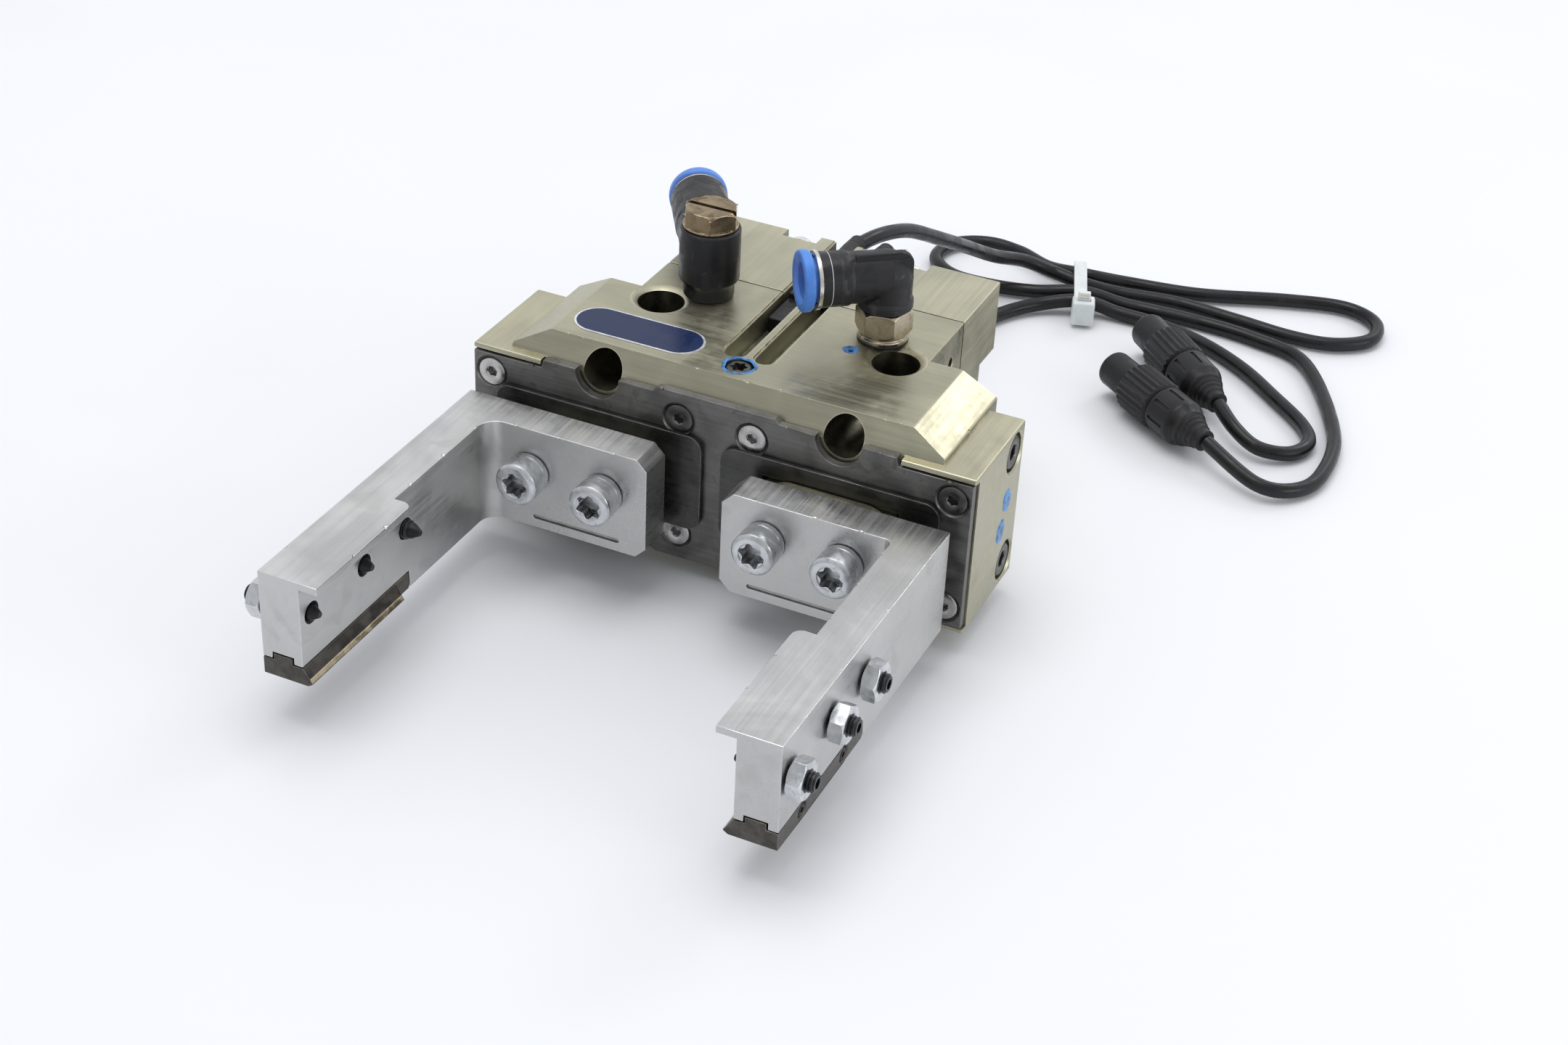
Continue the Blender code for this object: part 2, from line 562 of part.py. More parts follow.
# ---------------------------------------------------------------- jaws and fingers
for side in (-1, 1):
    word = "right" if side > 0 else "left"
    hang = "jaw_" + word + "_axis"
    low = FINGER_Z[side]

    def sx(a, b):
        return (side * a, side * b)

    inner = flank(3.9, 0.45)
    pts = [(inner, 3.9), (33.0, 3.9), (33.0, 13.9), (flank(13.9, 0.45), 13.9)]
    jaw = prism("jaw", [(side * x, y) for x, y in pts], 10.3, 24.7, 'XY')
    join(jaw, box("neck", *sx(9.4, 30.6), 0.1, 5.0, 12.9, 22.1))
    boss = [(side * x, z) for x, z in stadium(8.4, 31.6, 11.9, 23.1, 5.59, 8)]
    join(jaw, prism("boss", boss, -1.7, 0.5, 'XZ'))
    bake(jaw)
    cut(jaw, strip("web_way", side, -1.0, 2.6, 2.0, 16.0, 15.8, 19.2))
    cut(jaw, strip("flange_way", side, 1.1, 3.2, 2.0, 16.0, 14.3, 20.7))
    cut(jaw, box("wedge_nose", *sx(0.0, inner + 0.0), 4.2, 6.0, 11.6, 23.4))
    for x in (13.7, 26.5):
        cut(jaw, rod("jaw_thread", (side * x, 0.6, 17.7), 2.3, 6.6, 'Y', 20))
    finish(jaw, "base_jaw_" + word, ANODISED, hang)

    rim = [(side * x, z) for x, z in stadium(1.6, 37.7, 9.1, 25.9, 2.5, 6)]
    cover = prism("cover", rim, 0.8, 1.55, 'XZ')
    cut(cover, box("cover_window", *sx(8.7, 31.3), 0.0, 2.4, 12.2, 22.8))
    finish(cover, "jaw_cover_" + word, DARK, hang)

    r = FILLET[side]
    corner = arc(FINGER_IN - r, BLOCK_FRONT - r, r, 0, 90, 5)
    ell = [(6.3, FINGER_BACK), (6.3, BLOCK_FRONT)] + list(reversed(corner))
    ell += [(FINGER_IN, FINGER_TIP), (FINGER_OUT, FINGER_TIP), (FINGER_OUT, FINGER_BACK)]
    finger = prism("finger", [(side * x, y) for x, y in ell], low, low + FINGER_H, 'XY')
    top = low + FINGER_H
    lip = [(34.4, FINGER_TIP), (34.4, -34.8), (32.4, -34.8)]
    lip += [(30.8 + 1.6 * (1 - math.sin(math.radians(a))), -36.4 + 1.6 * math.cos(math.radians(a)))
            for a in (22.5, 45.0, 67.5, 90.0)]
    lip.append((30.8, FINGER_TIP))
    join(finger, prism("lip", [(side * x, y) for x, y in lip], top - 1.2, top, 'XY'))
    for z, sign in ((low, 1), (top, -1)):
        tri = [(5.3, z - 2.8 * sign + 1.8 * sign + 1.0 * sign - 1.0 * sign), (5.3, z + 2.8 * sign),
               (9.1, z - 1.0 * sign)]
        tri = [(5.3, z - 1.0 * sign), (5.3, z + 2.8 * sign), (9.1, z - 1.0 * sign)]
        cut(finger, prism("end_chamfer", [(side * x, zz) for x, zz in tri], -9.5, -1.0, 'XZ'))
    bake(finger)
    cut(finger, box("insert_seat", *sx(30.0, 42.0), -61.0, -31.7, low - 1.0, low + 3.0))
    cut(finger, box("tongue_seat", *sx(35.4, 39.0), -61.0, -31.7, low + 2.0, low + 4.1))
    cut(finger, box("block_groove", *sx(11.0, 26.0), BLOCK_FRONT - 1.0, BLOCK_FRONT + 0.4,
                    low + 1.7, low + 2.2))
    for x in (13.7, 26.5):
        cut(finger, rod("finger_hole", (side * x, -5.0, 17.7), 2.3, 10.0, 'Y', 20))
    pin_z = low + 10.8
    for y in (-32.3, -43.4, -57.0):
        cut(finger, rod("pin_hole", (side * 37.0, y, pin_z), 1.8, 10.0, 'X', 20))
    finish(finger, "finger_" + word, ALU, hang)

    for x, spot in ((13.7, "inner"), (26.5, "outer")):
        screw = turned("cap_screw", [(0, 3.7), (3.3, 3.7), (3.5, 3.4), (3.5, 0.1), (3.5, -0.9),
                                     (2.0, -0.9), (2.0, -12.9), (0, -12.9)],
                       (side * x, -9.5, 17.7), '-Y', 28)
        cut(screw, lobed("drive", 2.1, 4.0, (side * x, -13.2, 17.7), 'Y'))
        finish(screw, "finger_screw_" + word + "_" + spot, ZINC, hang)

    pts = [(33.9, low + 2.7), (35.7, low + 2.7), (35.7, low + 3.8), (38.7, low + 3.8),
           (38.7, low + 2.7), (40.6, low + 2.7), (40.6, low), (33.2, low), (32.4, low + 0.5)]
    insert = prism("insert", [(side * x, z) for x, z in pts], -60.0, -32.0, 'XZ')
    cut(insert, box("blade_end", *sx(30.0, 33.9), -35.6, -31.0, low - 1, low + 5))
    finish(insert, "tip_insert_" + word, TOOL, hang)
    for number, y in enumerate((-32.3, -43.4, -57.0), 1):
        axis = 'X' if side > 0 else '-X'
        near = -1.2 if number == 1 else 0.0
        screw = turned("set_screw", [(0, 5.9), (1.3, 5.9), (1.5, 5.7), (1.5, -4.8), (0.45, -6.1),
                                     (0, -6.1)], (side * (38.6 + near), y, pin_z), axis, 20)
        cut(screw, hexagon("key", (side * (44.1 + near), y, pin_z), 1.5, 2.6, 'X'))
        finish(screw, "set_screw_" + word + "_" + str(number), DARK, hang)
        nut = hexagon("nut", (side * 42.1, y, pin_z), 5.5, 2.4, 'X', math.radians(30))
        cut(nut, rod("nut_thread", (side * 42.1, y, pin_z), 1.8, 5.0, 'X', 20))
        finish(nut, "jam_nut_" + word + "_" + str(number), ZINC, hang)

# ---------------------------------------------------------------- elbow fitting
bx, by = PORT_B
stem = turned("stem", [(0, 43.2), (2.2, 43.2), (2.2, 40.5), (3.75, 40.5), (3.75, 35.3), (2.15, 35.3),
                       (2.15, 29.5), (0, 29.5)], (bx, by, 0), 'Z', 32)
join(stem, hexagon("hex", (bx, by, 38.7), 8.0, 4.0, 'Z', math.radians(-46.7 + 30)))
cut(stem, turned("hex_chamfer", [(6.0, 42.0), (6.0, 40.0), (4.65, 40.0), (4.05, 40.7), (4.05, 42.0)],
                 (bx, by, 0), 'Z', 32, True))
cut(stem, rod("stem_air", (bx, by, 36.5), 1.2, 16.0, 'Z', 16))
finish(stem, "port_b_stem", NICKEL)


def heading(centre, distance, angle, z):
    return (centre[0] + distance * math.cos(angle), centre[1] + distance * math.sin(angle), z)


elbow = turned("elbow_core", [(0, 46.0), (4.1, 46.0), (4.1, 42.3), (4.4, 42.0), (4.4, 41.0),
                              (0, 41.0)], (bx, by, 0), 'Z', 32)
ball = bmesh.new()
bmesh.ops.create_uvsphere(ball, u_segments=16, v_segments=10, radius=4.1 * MM)
join(elbow, smooth(place("elbow_ball", from_bmesh("elbow_ball", ball), (bx, by, ELBOW_Z))))
barrel = turned("elbow_barrel", [(0, 11.5), (4.35, 11.5), (4.35, 6.6), (4.1, 6.2), (4.1, 0.0),
                                 (0, 0.0)], (bx, by, ELBOW_Z), along(ELBOW_DIR), 32)
join(elbow, barrel)
rib = [(4.8, -1.5)] + [(4.8 * math.cos(a), 4.8 * math.sin(a)) for a in
                       [math.radians(15 * k) for k in range(7)]] + [(-4.5, 4.8), (-4.5, 2.0), (2.0, -1.5)]
join(elbow, prism("elbow_rib", [(x, z) for x, z in rib], -0.6, 0.6, 'XZ', (bx, by - Y_DATUM, ELBOW_Z),
                  (0, 0, ELBOW_DIR + math.pi)))
bake(elbow)
cut(elbow, rod("elbow_socket", (bx, by, 42.5), 2.5, 5.0, 'Z', 24))
cut(elbow, rod("elbow_way", heading(PORT_B, 5.0, ELBOW_DIR, ELBOW_Z), 2.0, 10.0, along(ELBOW_DIR), 20))
cut(elbow, rod("elbow_tube", heading(PORT_B, 10.0, ELBOW_DIR, ELBOW_Z), 3.85, 5.0, along(ELBOW_DIR), 32))
finish(elbow, "elbow_body", BLACK, "elbow_axis")
release = [(4.85, 1.9), (4.85, 0.5), (4.5, 0.2), (3.55, 0.2), (3.55, -3.0), (3.0, -3.0), (3.0, 1.9)]
finish(turned("elbow_release", release, heading(PORT_B, 12.1, ELBOW_DIR, ELBOW_Z),
              along(ELBOW_DIR), 36, True), "elbow_release_ring", BLUE, "elbow_ring_axis")

# ---------------------------------------------------------------- banjo fitting
ax, ay = PORT_A
banjo = turned("banjo_core", [(0, 47.2), (4.9, 47.2), (4.9, 38.4), (4.1, 37.3), (4.1, 35.3),
                              (0, 35.3)], (ax, ay, 0), 'Z', 36)
join(banjo, turned("banjo_barrel", [(0, 18.6), (4.75, 18.6), (4.75, 1.3), (0, 1.3)],
                   (ax, ay, BANJO_Z), along(BANJO_DIR), 36))
bake(banjo)
cut(banjo, rod("banjo_hole", (ax, ay, 42.0), 2.5, 14.0, 'Z', 24))
cut(banjo, rod("banjo_way", heading(PORT_A, 8.0, BANJO_DIR, BANJO_Z), 2.0, 14.0, along(BANJO_DIR), 20))
cut(banjo, rod("banjo_tube", heading(PORT_A, 17.0, BANJO_DIR, BANJO_Z), 3.85, 5.0,
               along(BANJO_DIR), 32))
finish(banjo, "banjo_body", BLACK, "banjo_axis")
finish(turned("banjo_release", release, heading(PORT_A, 19.2, BANJO_DIR, BANJO_Z),
              along(BANJO_DIR), 36, True), "banjo_release_ring", BLUE, "banjo_ring_axis")
screw = turned("banjo_bolt", [(0, 47.9), (2.15, 47.9), (2.15, 29.5), (0, 29.5)], (ax, ay, 0), 'Z', 28)
join(screw, hexagon("hex", (ax, ay, 49.0), 8.0, 3.0, 'Z', math.radians(-66.7 + 30)))
cut(screw, turned("hex_chamfer", [(6.0, 51.5), (6.0, 49.9), (4.6, 49.9), (3.9, 50.6), (3.9, 51.5)],
                  (ax, ay, 0), 'Z', 32, True))
cut(screw, box("screw_slot", ax - 6, ax + 6, ay - 0.45, ay + 0.45, 49.4, 51.5))
cut(screw, rod("bolt_air", (ax, ay, 36.0), 1.2, 15.0, 'Z', 16))
cut(screw, rod("bolt_cross", (ax, ay, BANJO_Z), 0.8, 6.0, 'Y', 12))
finish(screw, "port_a_bolt", BRASS)

# ---------------------------------------------------------------- cables, tie, connectors
CABLE_LEFT = [
    (-2.45, 55.4, 32.4), (-2.4, 60.2, 32.5), (-0.8, 67.1, 32.2), (0.9, 76.0, 29.6), (2.4, 87.0, 23.8),
    (3.4, 100.0, 16.6), (5.0, 112.0, 9.8), (8.4, 120.2, 6.0), (13.2, 123.2, 3.6), (19.4, 123.0, 2.8),
    (26.5, 125.2, 1.5), (37.0, 127.0, 1.4), (49.0, 126.0, 1.4), (60.0, 124.8, 1.4), (68.0, 126.0, 1.4),
    (73.6, 131.0, 1.4), (72.8, 138.0, 1.4), (66.0, 141.4, 1.4), (55.0, 138.6, 1.4), (40.0, 132.6, 1.4),
    (26.6, 129.8, 1.6), (18.2, 126.6, 2.8), (10.6, 128.4, 1.6), (3.4, 132.0, 1.4), (-3.6, 132.6, 1.4),
    (-9.4, 128.6, 1.4), (-10.2, 121.6, 1.4), (-5.2, 116.6, 1.4), (2.4, 115.9, 1.4), (11.6, 117.5, 1.6),
    (20.6, 119.6, 2.8), (29.0, 121.0, 1.6), (41.0, 121.8, 1.4), (54.0, 120.6, 1.4), (65.4, 115.6, 1.4),
    (76.4, 94.0, 1.4), (78.2, 79.0, 1.4), (75.4, 71.5, 1.6), (69.2, 68.9, 2.6), (58.8, 74.3, 4.7),
]
CABLE_RIGHT = [
    (2.55, 55.4, 32.4), (2.7, 59.8, 32.2), (3.0, 64.2, 29.6), (3.2, 66.6, 24.6), (3.3, 67.8, 18.5),
    (3.4, 69.6, 11.5), (3.6, 73.6, 5.4), (4.0, 79.6, 2.0), (4.8, 88.0, 1.4), (6.4, 98.0, 1.4),
    (9.4, 106.4, 1.4), (14.6, 112.8, 1.8), (21.8, 116.2, 2.8), (28.6, 117.2, 1.6), (36.0, 117.0, 1.4),
    (46.0, 114.0, 1.4), (55.4, 108.4, 1.4), (63.6, 101.0, 1.4), (70.8, 93.8, 1.4), (73.4, 88.1, 1.4),
    (71.4, 83.1, 1.5), (66.3, 80.9, 2.3), (61.4, 83.1, 3.6), (56.8, 87.9, 4.7),
]
TIE_AT = (20.0, 121.3)
finish(tube("cable", spline_through(CABLE_LEFT, 5.4), CABLE_R), "sensor_cable_left", RUBBER)
finish(tube("cable", spline_through(CABLE_RIGHT, 5.4), CABLE_R), "sensor_cable_right", RUBBER)
tie_turn = math.atan2(-3.4, 1.2)
strap = box("strap", TIE_AT[0] - 8.6, TIE_AT[0] + 8.6, TIE_AT[1] - 1.2, TIE_AT[1] + 1.2, 0.1, 5.5,
            0.5, 1, tie_turn)
bake(strap)
cut(strap, box("strap_hole", TIE_AT[0] - 7.9, TIE_AT[0] + 7.9, TIE_AT[1] - 3.0, TIE_AT[1] + 3.0,
               0.8, 4.8, 0.0, 1, tie_turn))
finish(strap, "cable_tie", WHITE)


def connector(name, word, tail, nose, z):
    """Round plug lying on the table, nose away from the cable."""
    angle = math.atan2(nose[1] - tail[1], nose[0] - tail[0])
    body = [(0, 28.0), (3.3, 28.0), (3.3, 21.3), (3.0, 21.3), (3.0, 12.0), (4.2, 12.0), (4.2, 6.0),
            (2.6, 3.0), (2.1, 0.0), (0, 0.0)]
    shell = turned(name, body, (tail[0], tail[1], z), along(angle), 28)
    outline = []
    for k in range(24):
        r = 4.5 if k % 2 else 4.2
        outline.append((r * math.cos(math.pi * k / 12), r * math.sin(math.pi * k / 12)))
    join(shell, prism("nut", outline, 12.4, 20.9, 'XY', (tail[0], tail[1], z), along(angle)))
    cut(shell, rod("plug_face", heading(tail, 27.5, angle, z), 2.6, 5.0, along(angle), 24))
    finish(shell, "connector_" + word, BLACK)


connector("plug_left", "left", (58.5, 74.5), (36.1, 91.3), 4.7)
connector("plug_right", "right", (56.5, 88.2), (36.9, 108.2), 4.7)

for ob in CUTTERS.objects:
    ob.hide_render = True
    ob.hide_viewport = False
    ob.display_type = 'WIRE'
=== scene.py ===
"""Visual model of a two-jaw parallel pneumatic gripper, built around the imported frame.

Design numbers are millimetres; point() turns them into metres and adds the frame's depth datum.
"""
import json
import random
from math import atan2, cos, hypot, pi, radians, sin, sqrt

import bmesh
import bpy
from mathutils import Matrix, Vector

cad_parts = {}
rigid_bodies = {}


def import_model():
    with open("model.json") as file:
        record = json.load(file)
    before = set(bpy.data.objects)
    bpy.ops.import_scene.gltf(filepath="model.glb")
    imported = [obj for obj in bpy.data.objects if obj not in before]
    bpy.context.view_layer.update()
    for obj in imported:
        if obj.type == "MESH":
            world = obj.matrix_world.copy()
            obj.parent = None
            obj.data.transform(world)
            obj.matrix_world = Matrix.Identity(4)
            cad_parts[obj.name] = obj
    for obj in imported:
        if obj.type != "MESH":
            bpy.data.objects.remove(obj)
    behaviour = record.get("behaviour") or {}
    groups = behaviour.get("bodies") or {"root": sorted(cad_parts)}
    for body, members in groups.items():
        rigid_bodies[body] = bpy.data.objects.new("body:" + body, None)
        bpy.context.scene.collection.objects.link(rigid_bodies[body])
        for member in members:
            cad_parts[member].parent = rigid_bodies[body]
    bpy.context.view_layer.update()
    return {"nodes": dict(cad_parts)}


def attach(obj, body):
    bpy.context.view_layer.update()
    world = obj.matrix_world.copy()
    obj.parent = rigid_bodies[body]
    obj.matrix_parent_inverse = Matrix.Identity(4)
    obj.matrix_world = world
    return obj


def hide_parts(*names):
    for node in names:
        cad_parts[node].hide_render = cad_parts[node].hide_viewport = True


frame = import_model()

MM = 0.001
Y_DATUM = 1.9            # the body's own zero depth in the frame
# Body: half widths, heights, depths of its steps and bore radii.
BODY_HALF = 30.6
CHAMFER_HALF = 36.6
WING_HALF = 42.5
BODY_TOP = 35
MID_Z = 17.5
NARROW_HALF = 25.15
REAR_Y = 56.2
SEAM_Y = 35.3
SEAM_STEP_Y = 40
SEAM_STEP_X = 15.85
PLATE_FRONT = 1.85
PLATE_BACK = 3.3
BORE_R = 10.8
SPRING_R = 9
# Fingers, right hand; the two differ in height and fillet.
FINGER_OUT = 40.6
FINGER_IN = 33.9
FINGER_TIP = -60
FINGER_BACK = -2
BLOCK_FRONT = -8.2
FINGER_H = 17.5
FINGER_Z = {1: 6.6, -1: 7.7}
FILLET = {1: 1.2, -1: 3}
# Air ports and the headings of their fittings.
PORT_A = (-14.5, 28.5)
PORT_B = (15.7, 29)
ELBOW_DIR = radians(218)
BANJO_DIR = radians(121.8)
ELBOW_Z = 46
BANJO_Z = 42.6
# Screws, holes and plugs.
COVER_SCREWS = [(39.1, 26.9), (39.1, 8.1), (6.2, 27.8), (6.2, 7.2)]
DULL_COVER_SCREWS = (3, 5)
THROUGH_HOLE = (20.4, 23.4)
FRONT_HOLE_Z = (31.2, 3.8)
END_SCREW_Y = 18.9
END_SCREW_Z = (27.2, 7.7)
END_PLUGS = ((17.4, 19.5), (15.8, 14.7))
SEAL_PLUG_Y = 9.8
SMALL_PLUG = (12.9, 23)
FINGER_SCREWS = (13.7, 26.5)
FINGER_SCREW_Z = 17.7
INSERT_SCREW_Y = (-38.4, -52.2)
OUTWARD = {1: 'X', -1: '-X'}
INWARD = {1: '-X', -1: 'X'}
SLOTS = [(-4.3, -0.6), (1, 4.1)]
SLOT_END_Y = 12.2
SLOT_FLOOR = 30.6
PIN_Y = (-32.3, -43.4, -57)
CABLE_R = 1.3
JAWS = {1: "jaw_right_slide", -1: "jaw_left_slide"}
WORDS = {1: "right", -1: "left"}
FACETS = 1.15            # how many more sides round parts get
SMOOTH_ANGLE = 38        # degrees; sharper edges stay sharp in shading

SCENE = bpy.context.scene
WORK = bpy.data.collections.new("work")
PIECES = bpy.data.collections.new("pieces")
SCENE.collection.children.link(WORK)
SCENE.collection.children.link(PIECES)
rng = random.Random(7)


def point(x, y, z):
    return Vector((x * MM, (y + Y_DATUM) * MM, z * MM))


# ---------------------------------------------------------------- finishes
def look(name, colour, metallic, rough, vary=(0.1, 0.12), brush=None, grain=(5, 0), wear=None,
        corner_shade=None, stain=None, sockets=None):
    """Procedural finish: uneven tone, brushed or cast grain, bright worn edges, painted corner
    shade.

    vary: tone, scale per mm and, if given, roughness. brush: line scales, tone and bump.
    grain: scale and bump. wear: colour, width in mm and where it starts. corner_shade: colour,
    reach in mm and strength of the shade painted into corners and recesses. stain: colour,
    scale, where it starts and strength.
    """
    vary_tone, vary_scale, rough_vary = (*vary, 0.08)[:3]
    mat = bpy.data.materials.new(name)
    mat.use_nodes = True
    tree = mat.node_tree
    link = tree.links.new

    def make(kind):
        return tree.nodes.new("ShaderNode" + kind)

    shader = tree.nodes["Principled BSDF"]
    shader.inputs["Metallic"].default_value = metallic
    for key, value in (sockets or {}).items():
        shader.inputs[key].default_value = value
    coord = make("TexCoord").outputs["Object"]

    def noise(scale, detail=4, stretch=(1, 1, 1), shift=0, twist=0):
        mapping = make("Mapping")
        mapping.inputs["Scale"].default_value = [scale * s / MM for s in stretch]
        mapping.inputs["Location"].default_value = (shift, shift * 0.7, shift * 1.3)
        link(coord, mapping.inputs["Vector"])
        tex = make("TexNoise")
        tex.inputs["Scale"].default_value = 1
        tex.inputs["Detail"].default_value = detail
        tex.inputs["Distortion"].default_value = twist
        link(mapping.outputs["Vector"], tex.inputs["Vector"])
        return tex.outputs["Fac"]

    def ranged(source, low, high, to_low=0, to_high=1):
        node = make("MapRange")
        node.interpolation_type = 'SMOOTHSTEP'
        link(source, node.inputs["Value"])
        for key, value in (("From Min", low), ("From Max", high), ("To Min", to_low),
                ("To Max", to_high)):
            node.inputs[key].default_value = value
        return node.outputs["Result"]

    def blend(factor, first, second):
        node = make("Mix")
        node.data_type = 'RGBA'
        link(factor, node.inputs[0])
        for socket, value in ((node.inputs[6], first), (node.inputs[7], second)):
            if isinstance(value, tuple):
                socket.default_value = (*value, 1)
            else:
                link(value, socket)
        return node.outputs[2]

    def maths(kind, first, second):
        node = make("Math")
        node.operation = kind
        for socket, value in ((node.inputs[0], first), (node.inputs[1], second)):
            if isinstance(value, (int, float)):
                socket.default_value = value
            else:
                link(value, socket)
        return node.outputs["Value"]

    def scaled(rgb, by):
        return tuple(min(1, c * by) for c in rgb)

    tone = ranged(noise(vary_scale, 5, twist=0.6), 0.32, 0.68)
    paint = blend(tone, scaled(colour, 1 - vary_tone), scaled(colour, 1 + vary_tone))
    spots = noise(vary_scale * 9, 6, shift=3.1)
    roughness = ranged(maths('ADD', maths('MULTIPLY', tone, 0.5), maths('MULTIPLY', spots, 0.6)),
        0.3, 0.85, rough - rough_vary, rough + rough_vary)
    height = None
    if grain[1] > 0:
        height = maths('MULTIPLY', noise(grain[0], 3, shift=1.7), grain[1])
    if brush is not None:
        stretch, brush_tone, brush_bump = brush
        lines = noise(1, 3, stretch, 5.3)
        deep = noise(0.6, 2, tuple(s * 0.45 for s in stretch), 8.9)
        streak = ranged(maths('ADD', maths('MULTIPLY', lines, 0.6), maths('MULTIPLY', deep, 0.4)),
            0.36, 0.64)
        dark = make("Mix")
        dark.data_type = 'RGBA'
        dark.blend_type = 'MULTIPLY'
        dark.inputs[0].default_value = 1
        link(paint, dark.inputs[6])
        link(blend(streak, (1 - brush_tone,) * 3, (1, 1, 1)), dark.inputs[7])
        paint = dark.outputs[2]
        roughness = maths('ADD', roughness, maths('MULTIPLY', maths('SUBTRACT', streak, 0.5), 0.1))
        lines = maths('MULTIPLY', streak, brush_bump)
        height = lines if height is None else maths('ADD', height, lines)
    if stain is not None:
        stain_colour, stain_scale, stain_from, stain_power = stain
        patch = maths('MULTIPLY', ranged(noise(stain_scale, 7, shift=11, twist=1.2), stain_from,
                stain_from + 0.12), stain_power)
        paint = blend(patch, paint, stain_colour)
        roughness = maths('ADD', roughness, maths('MULTIPLY', patch, 0.12))
    # Painted shade: the colour is darkened where ambient occlusion finds nearby surfaces, in
    # corners and recesses, broken up by noise.
    if corner_shade is not None:
        shade_colour, shade_reach, shade_power = (*corner_shade, 0.7)[:3]
        near = make("AmbientOcclusion")
        near.samples = 6
        near.only_local = True
        near.inputs["Distance"].default_value = shade_reach * MM
        shade = ranged(near.outputs["AO"], 0.35, 0.95, 1, 0)
        shade = maths('MULTIPLY', shade, ranged(noise(0.5, 5, shift=6), 0.25, 0.6, 0.45, 1))
        shade = maths('MULTIPLY', shade, shade_power)
        paint = blend(shade, paint, shade_colour)
        roughness = maths('ADD', roughness, maths('MULTIPLY', shade, 0.2))
    if wear is not None:
        bare, wear_width, wear_from = (*wear, 0.45)[:3]
        rounded = make("Bevel")
        rounded.samples = 6
        rounded.inputs["Radius"].default_value = wear_width * MM
        true = make("NewGeometry")
        dot = make("VectorMath")
        dot.operation = 'DOT_PRODUCT'
        link(rounded.outputs["Normal"], dot.inputs[0])
        link(true.outputs["True Normal"], dot.inputs[1])
        edge = ranged(dot.outputs["Value"], 0.8, 0.995, 1, 0)
        broken = ranged(noise(0.55, 8, shift=2.2), wear_from - 0.14, wear_from + 0.1)
        edge = maths('MULTIPLY', edge, broken)
        paint = blend(edge, paint, bare)
        roughness = maths('SUBTRACT', roughness, maths('MULTIPLY', edge, 0.12))
    link(paint, shader.inputs["Base Color"])
    link(roughness, shader.inputs["Roughness"])
    if height is not None:
        bump = make("Bump")
        bump.inputs["Strength"].default_value = 0.5
        bump.inputs["Distance"].default_value = 0.012 * MM
        link(height, bump.inputs["Height"])
        link(bump.outputs["Normal"], shader.inputs["Normal"])
    mat.diffuse_color = (*colour, 1)
    return mat


X_LINES = (0.05, 5, 5)
Y_LINES = (5, 0.05, 5)
OLIVE = (0.44, 0.422, 0.312)
GOLD_EDGE = (0.66, 0.62, 0.46)
# Colour of the shade painted into corners and recesses.
CORNER_SHADE_COLOUR = (0.03, 0.027, 0.022)
ANODISED = look("anodised_housing", OLIVE, 0.92, 0.4, vary=(0.09, 0.07),
    brush=(X_LINES, 0.1, 0.35), grain=(5, 0.25), wear=(GOLD_EDGE, 0.35, 0.4),
    corner_shade=(CORNER_SHADE_COLOUR, 2.4, 0.75), stain=((0.27, 0.25, 0.18), 0.05, 0.6, 0.3))
# Darker copy of the housing finish for the walls inside the holes: painted shade in the bores.
BORE_SHADE = look("bore_wall_painted_shade", (0.15, 0.142, 0.1), 0.9, 0.34, vary=(0.25, 0.3), grain=(5, 0.4),
    corner_shade=(CORNER_SHADE_COLOUR, 5, 0.9))
# Lighter copy of the housing finish for the upward chamfers and wing tops: painted sheen where
# light catches them.
ANODISED_SHEEN = look("anodised_bevel_painted_sheen", (0.5, 0.475, 0.345), 0.92, 0.36, vary=(0.06, 0.08),
    brush=(Y_LINES, 0.1, 0.4), grain=(5, 0.2), wear=(GOLD_EDGE, 0.35, 0.42))
ANODISED_REAR = look("anodised_extension", (0.48, 0.462, 0.345), 0.92, 0.4, vary=(0.1, 0.06),
    brush=(Y_LINES, 0.1, 0.35), grain=(5, 0.25), wear=(GOLD_EDGE, 0.3), corner_shade=(CORNER_SHADE_COLOUR, 2.4, 0.7))
# Jaw finish with its colour raised to offset the shadow the jaw nose sits in: painted light.
ANODISED_JAW_LIFTED = look("anodised_jaw_lifted_against_shadow", (0.494, 0.474, 0.338), 0.92, 0.36, brush=(X_LINES, 0.07, 0.2),
    wear=(GOLD_EDGE, 0.3), corner_shade=(CORNER_SHADE_COLOUR, 1.6))
PLATE = look("hardened_plate", (0.175, 0.172, 0.166), 0.8, 0.43, vary=(0.22, 0.18),
    brush=(X_LINES, 0.18, 0.2), grain=(5, 0.5), wear=((0.36, 0.35, 0.33), 0.28, 0.5),
    corner_shade=((0.012, 0.011, 0.01), 1.2), stain=((0.09, 0.086, 0.08), 0.3, 0.58, 0.5))
COVER = look("thin_cover", (0.085, 0.084, 0.081), 0.8, 0.36, vary=(0.25, 0.2),
    brush=(X_LINES, 0.2, 0.2), wear=((0.5, 0.49, 0.46), 0.22, 0.42), corner_shade=((0.01, 0.01, 0.01), 1),
    stain=((0.1, 0.095, 0.09), 0.3, 0.64, 0.5))
MILLED = look("milled_aluminium", (0.565, 0.562, 0.552), 0.96, 0.37, vary=(0.08, 0.06),
    brush=(Y_LINES, 0.06, 0.24), grain=(5, 0.25), wear=((0.86, 0.86, 0.86), 0.3),
    corner_shade=((0.1, 0.095, 0.085), 1.6, 0.55), stain=((0.42, 0.415, 0.4), 0.08, 0.56, 0.4))
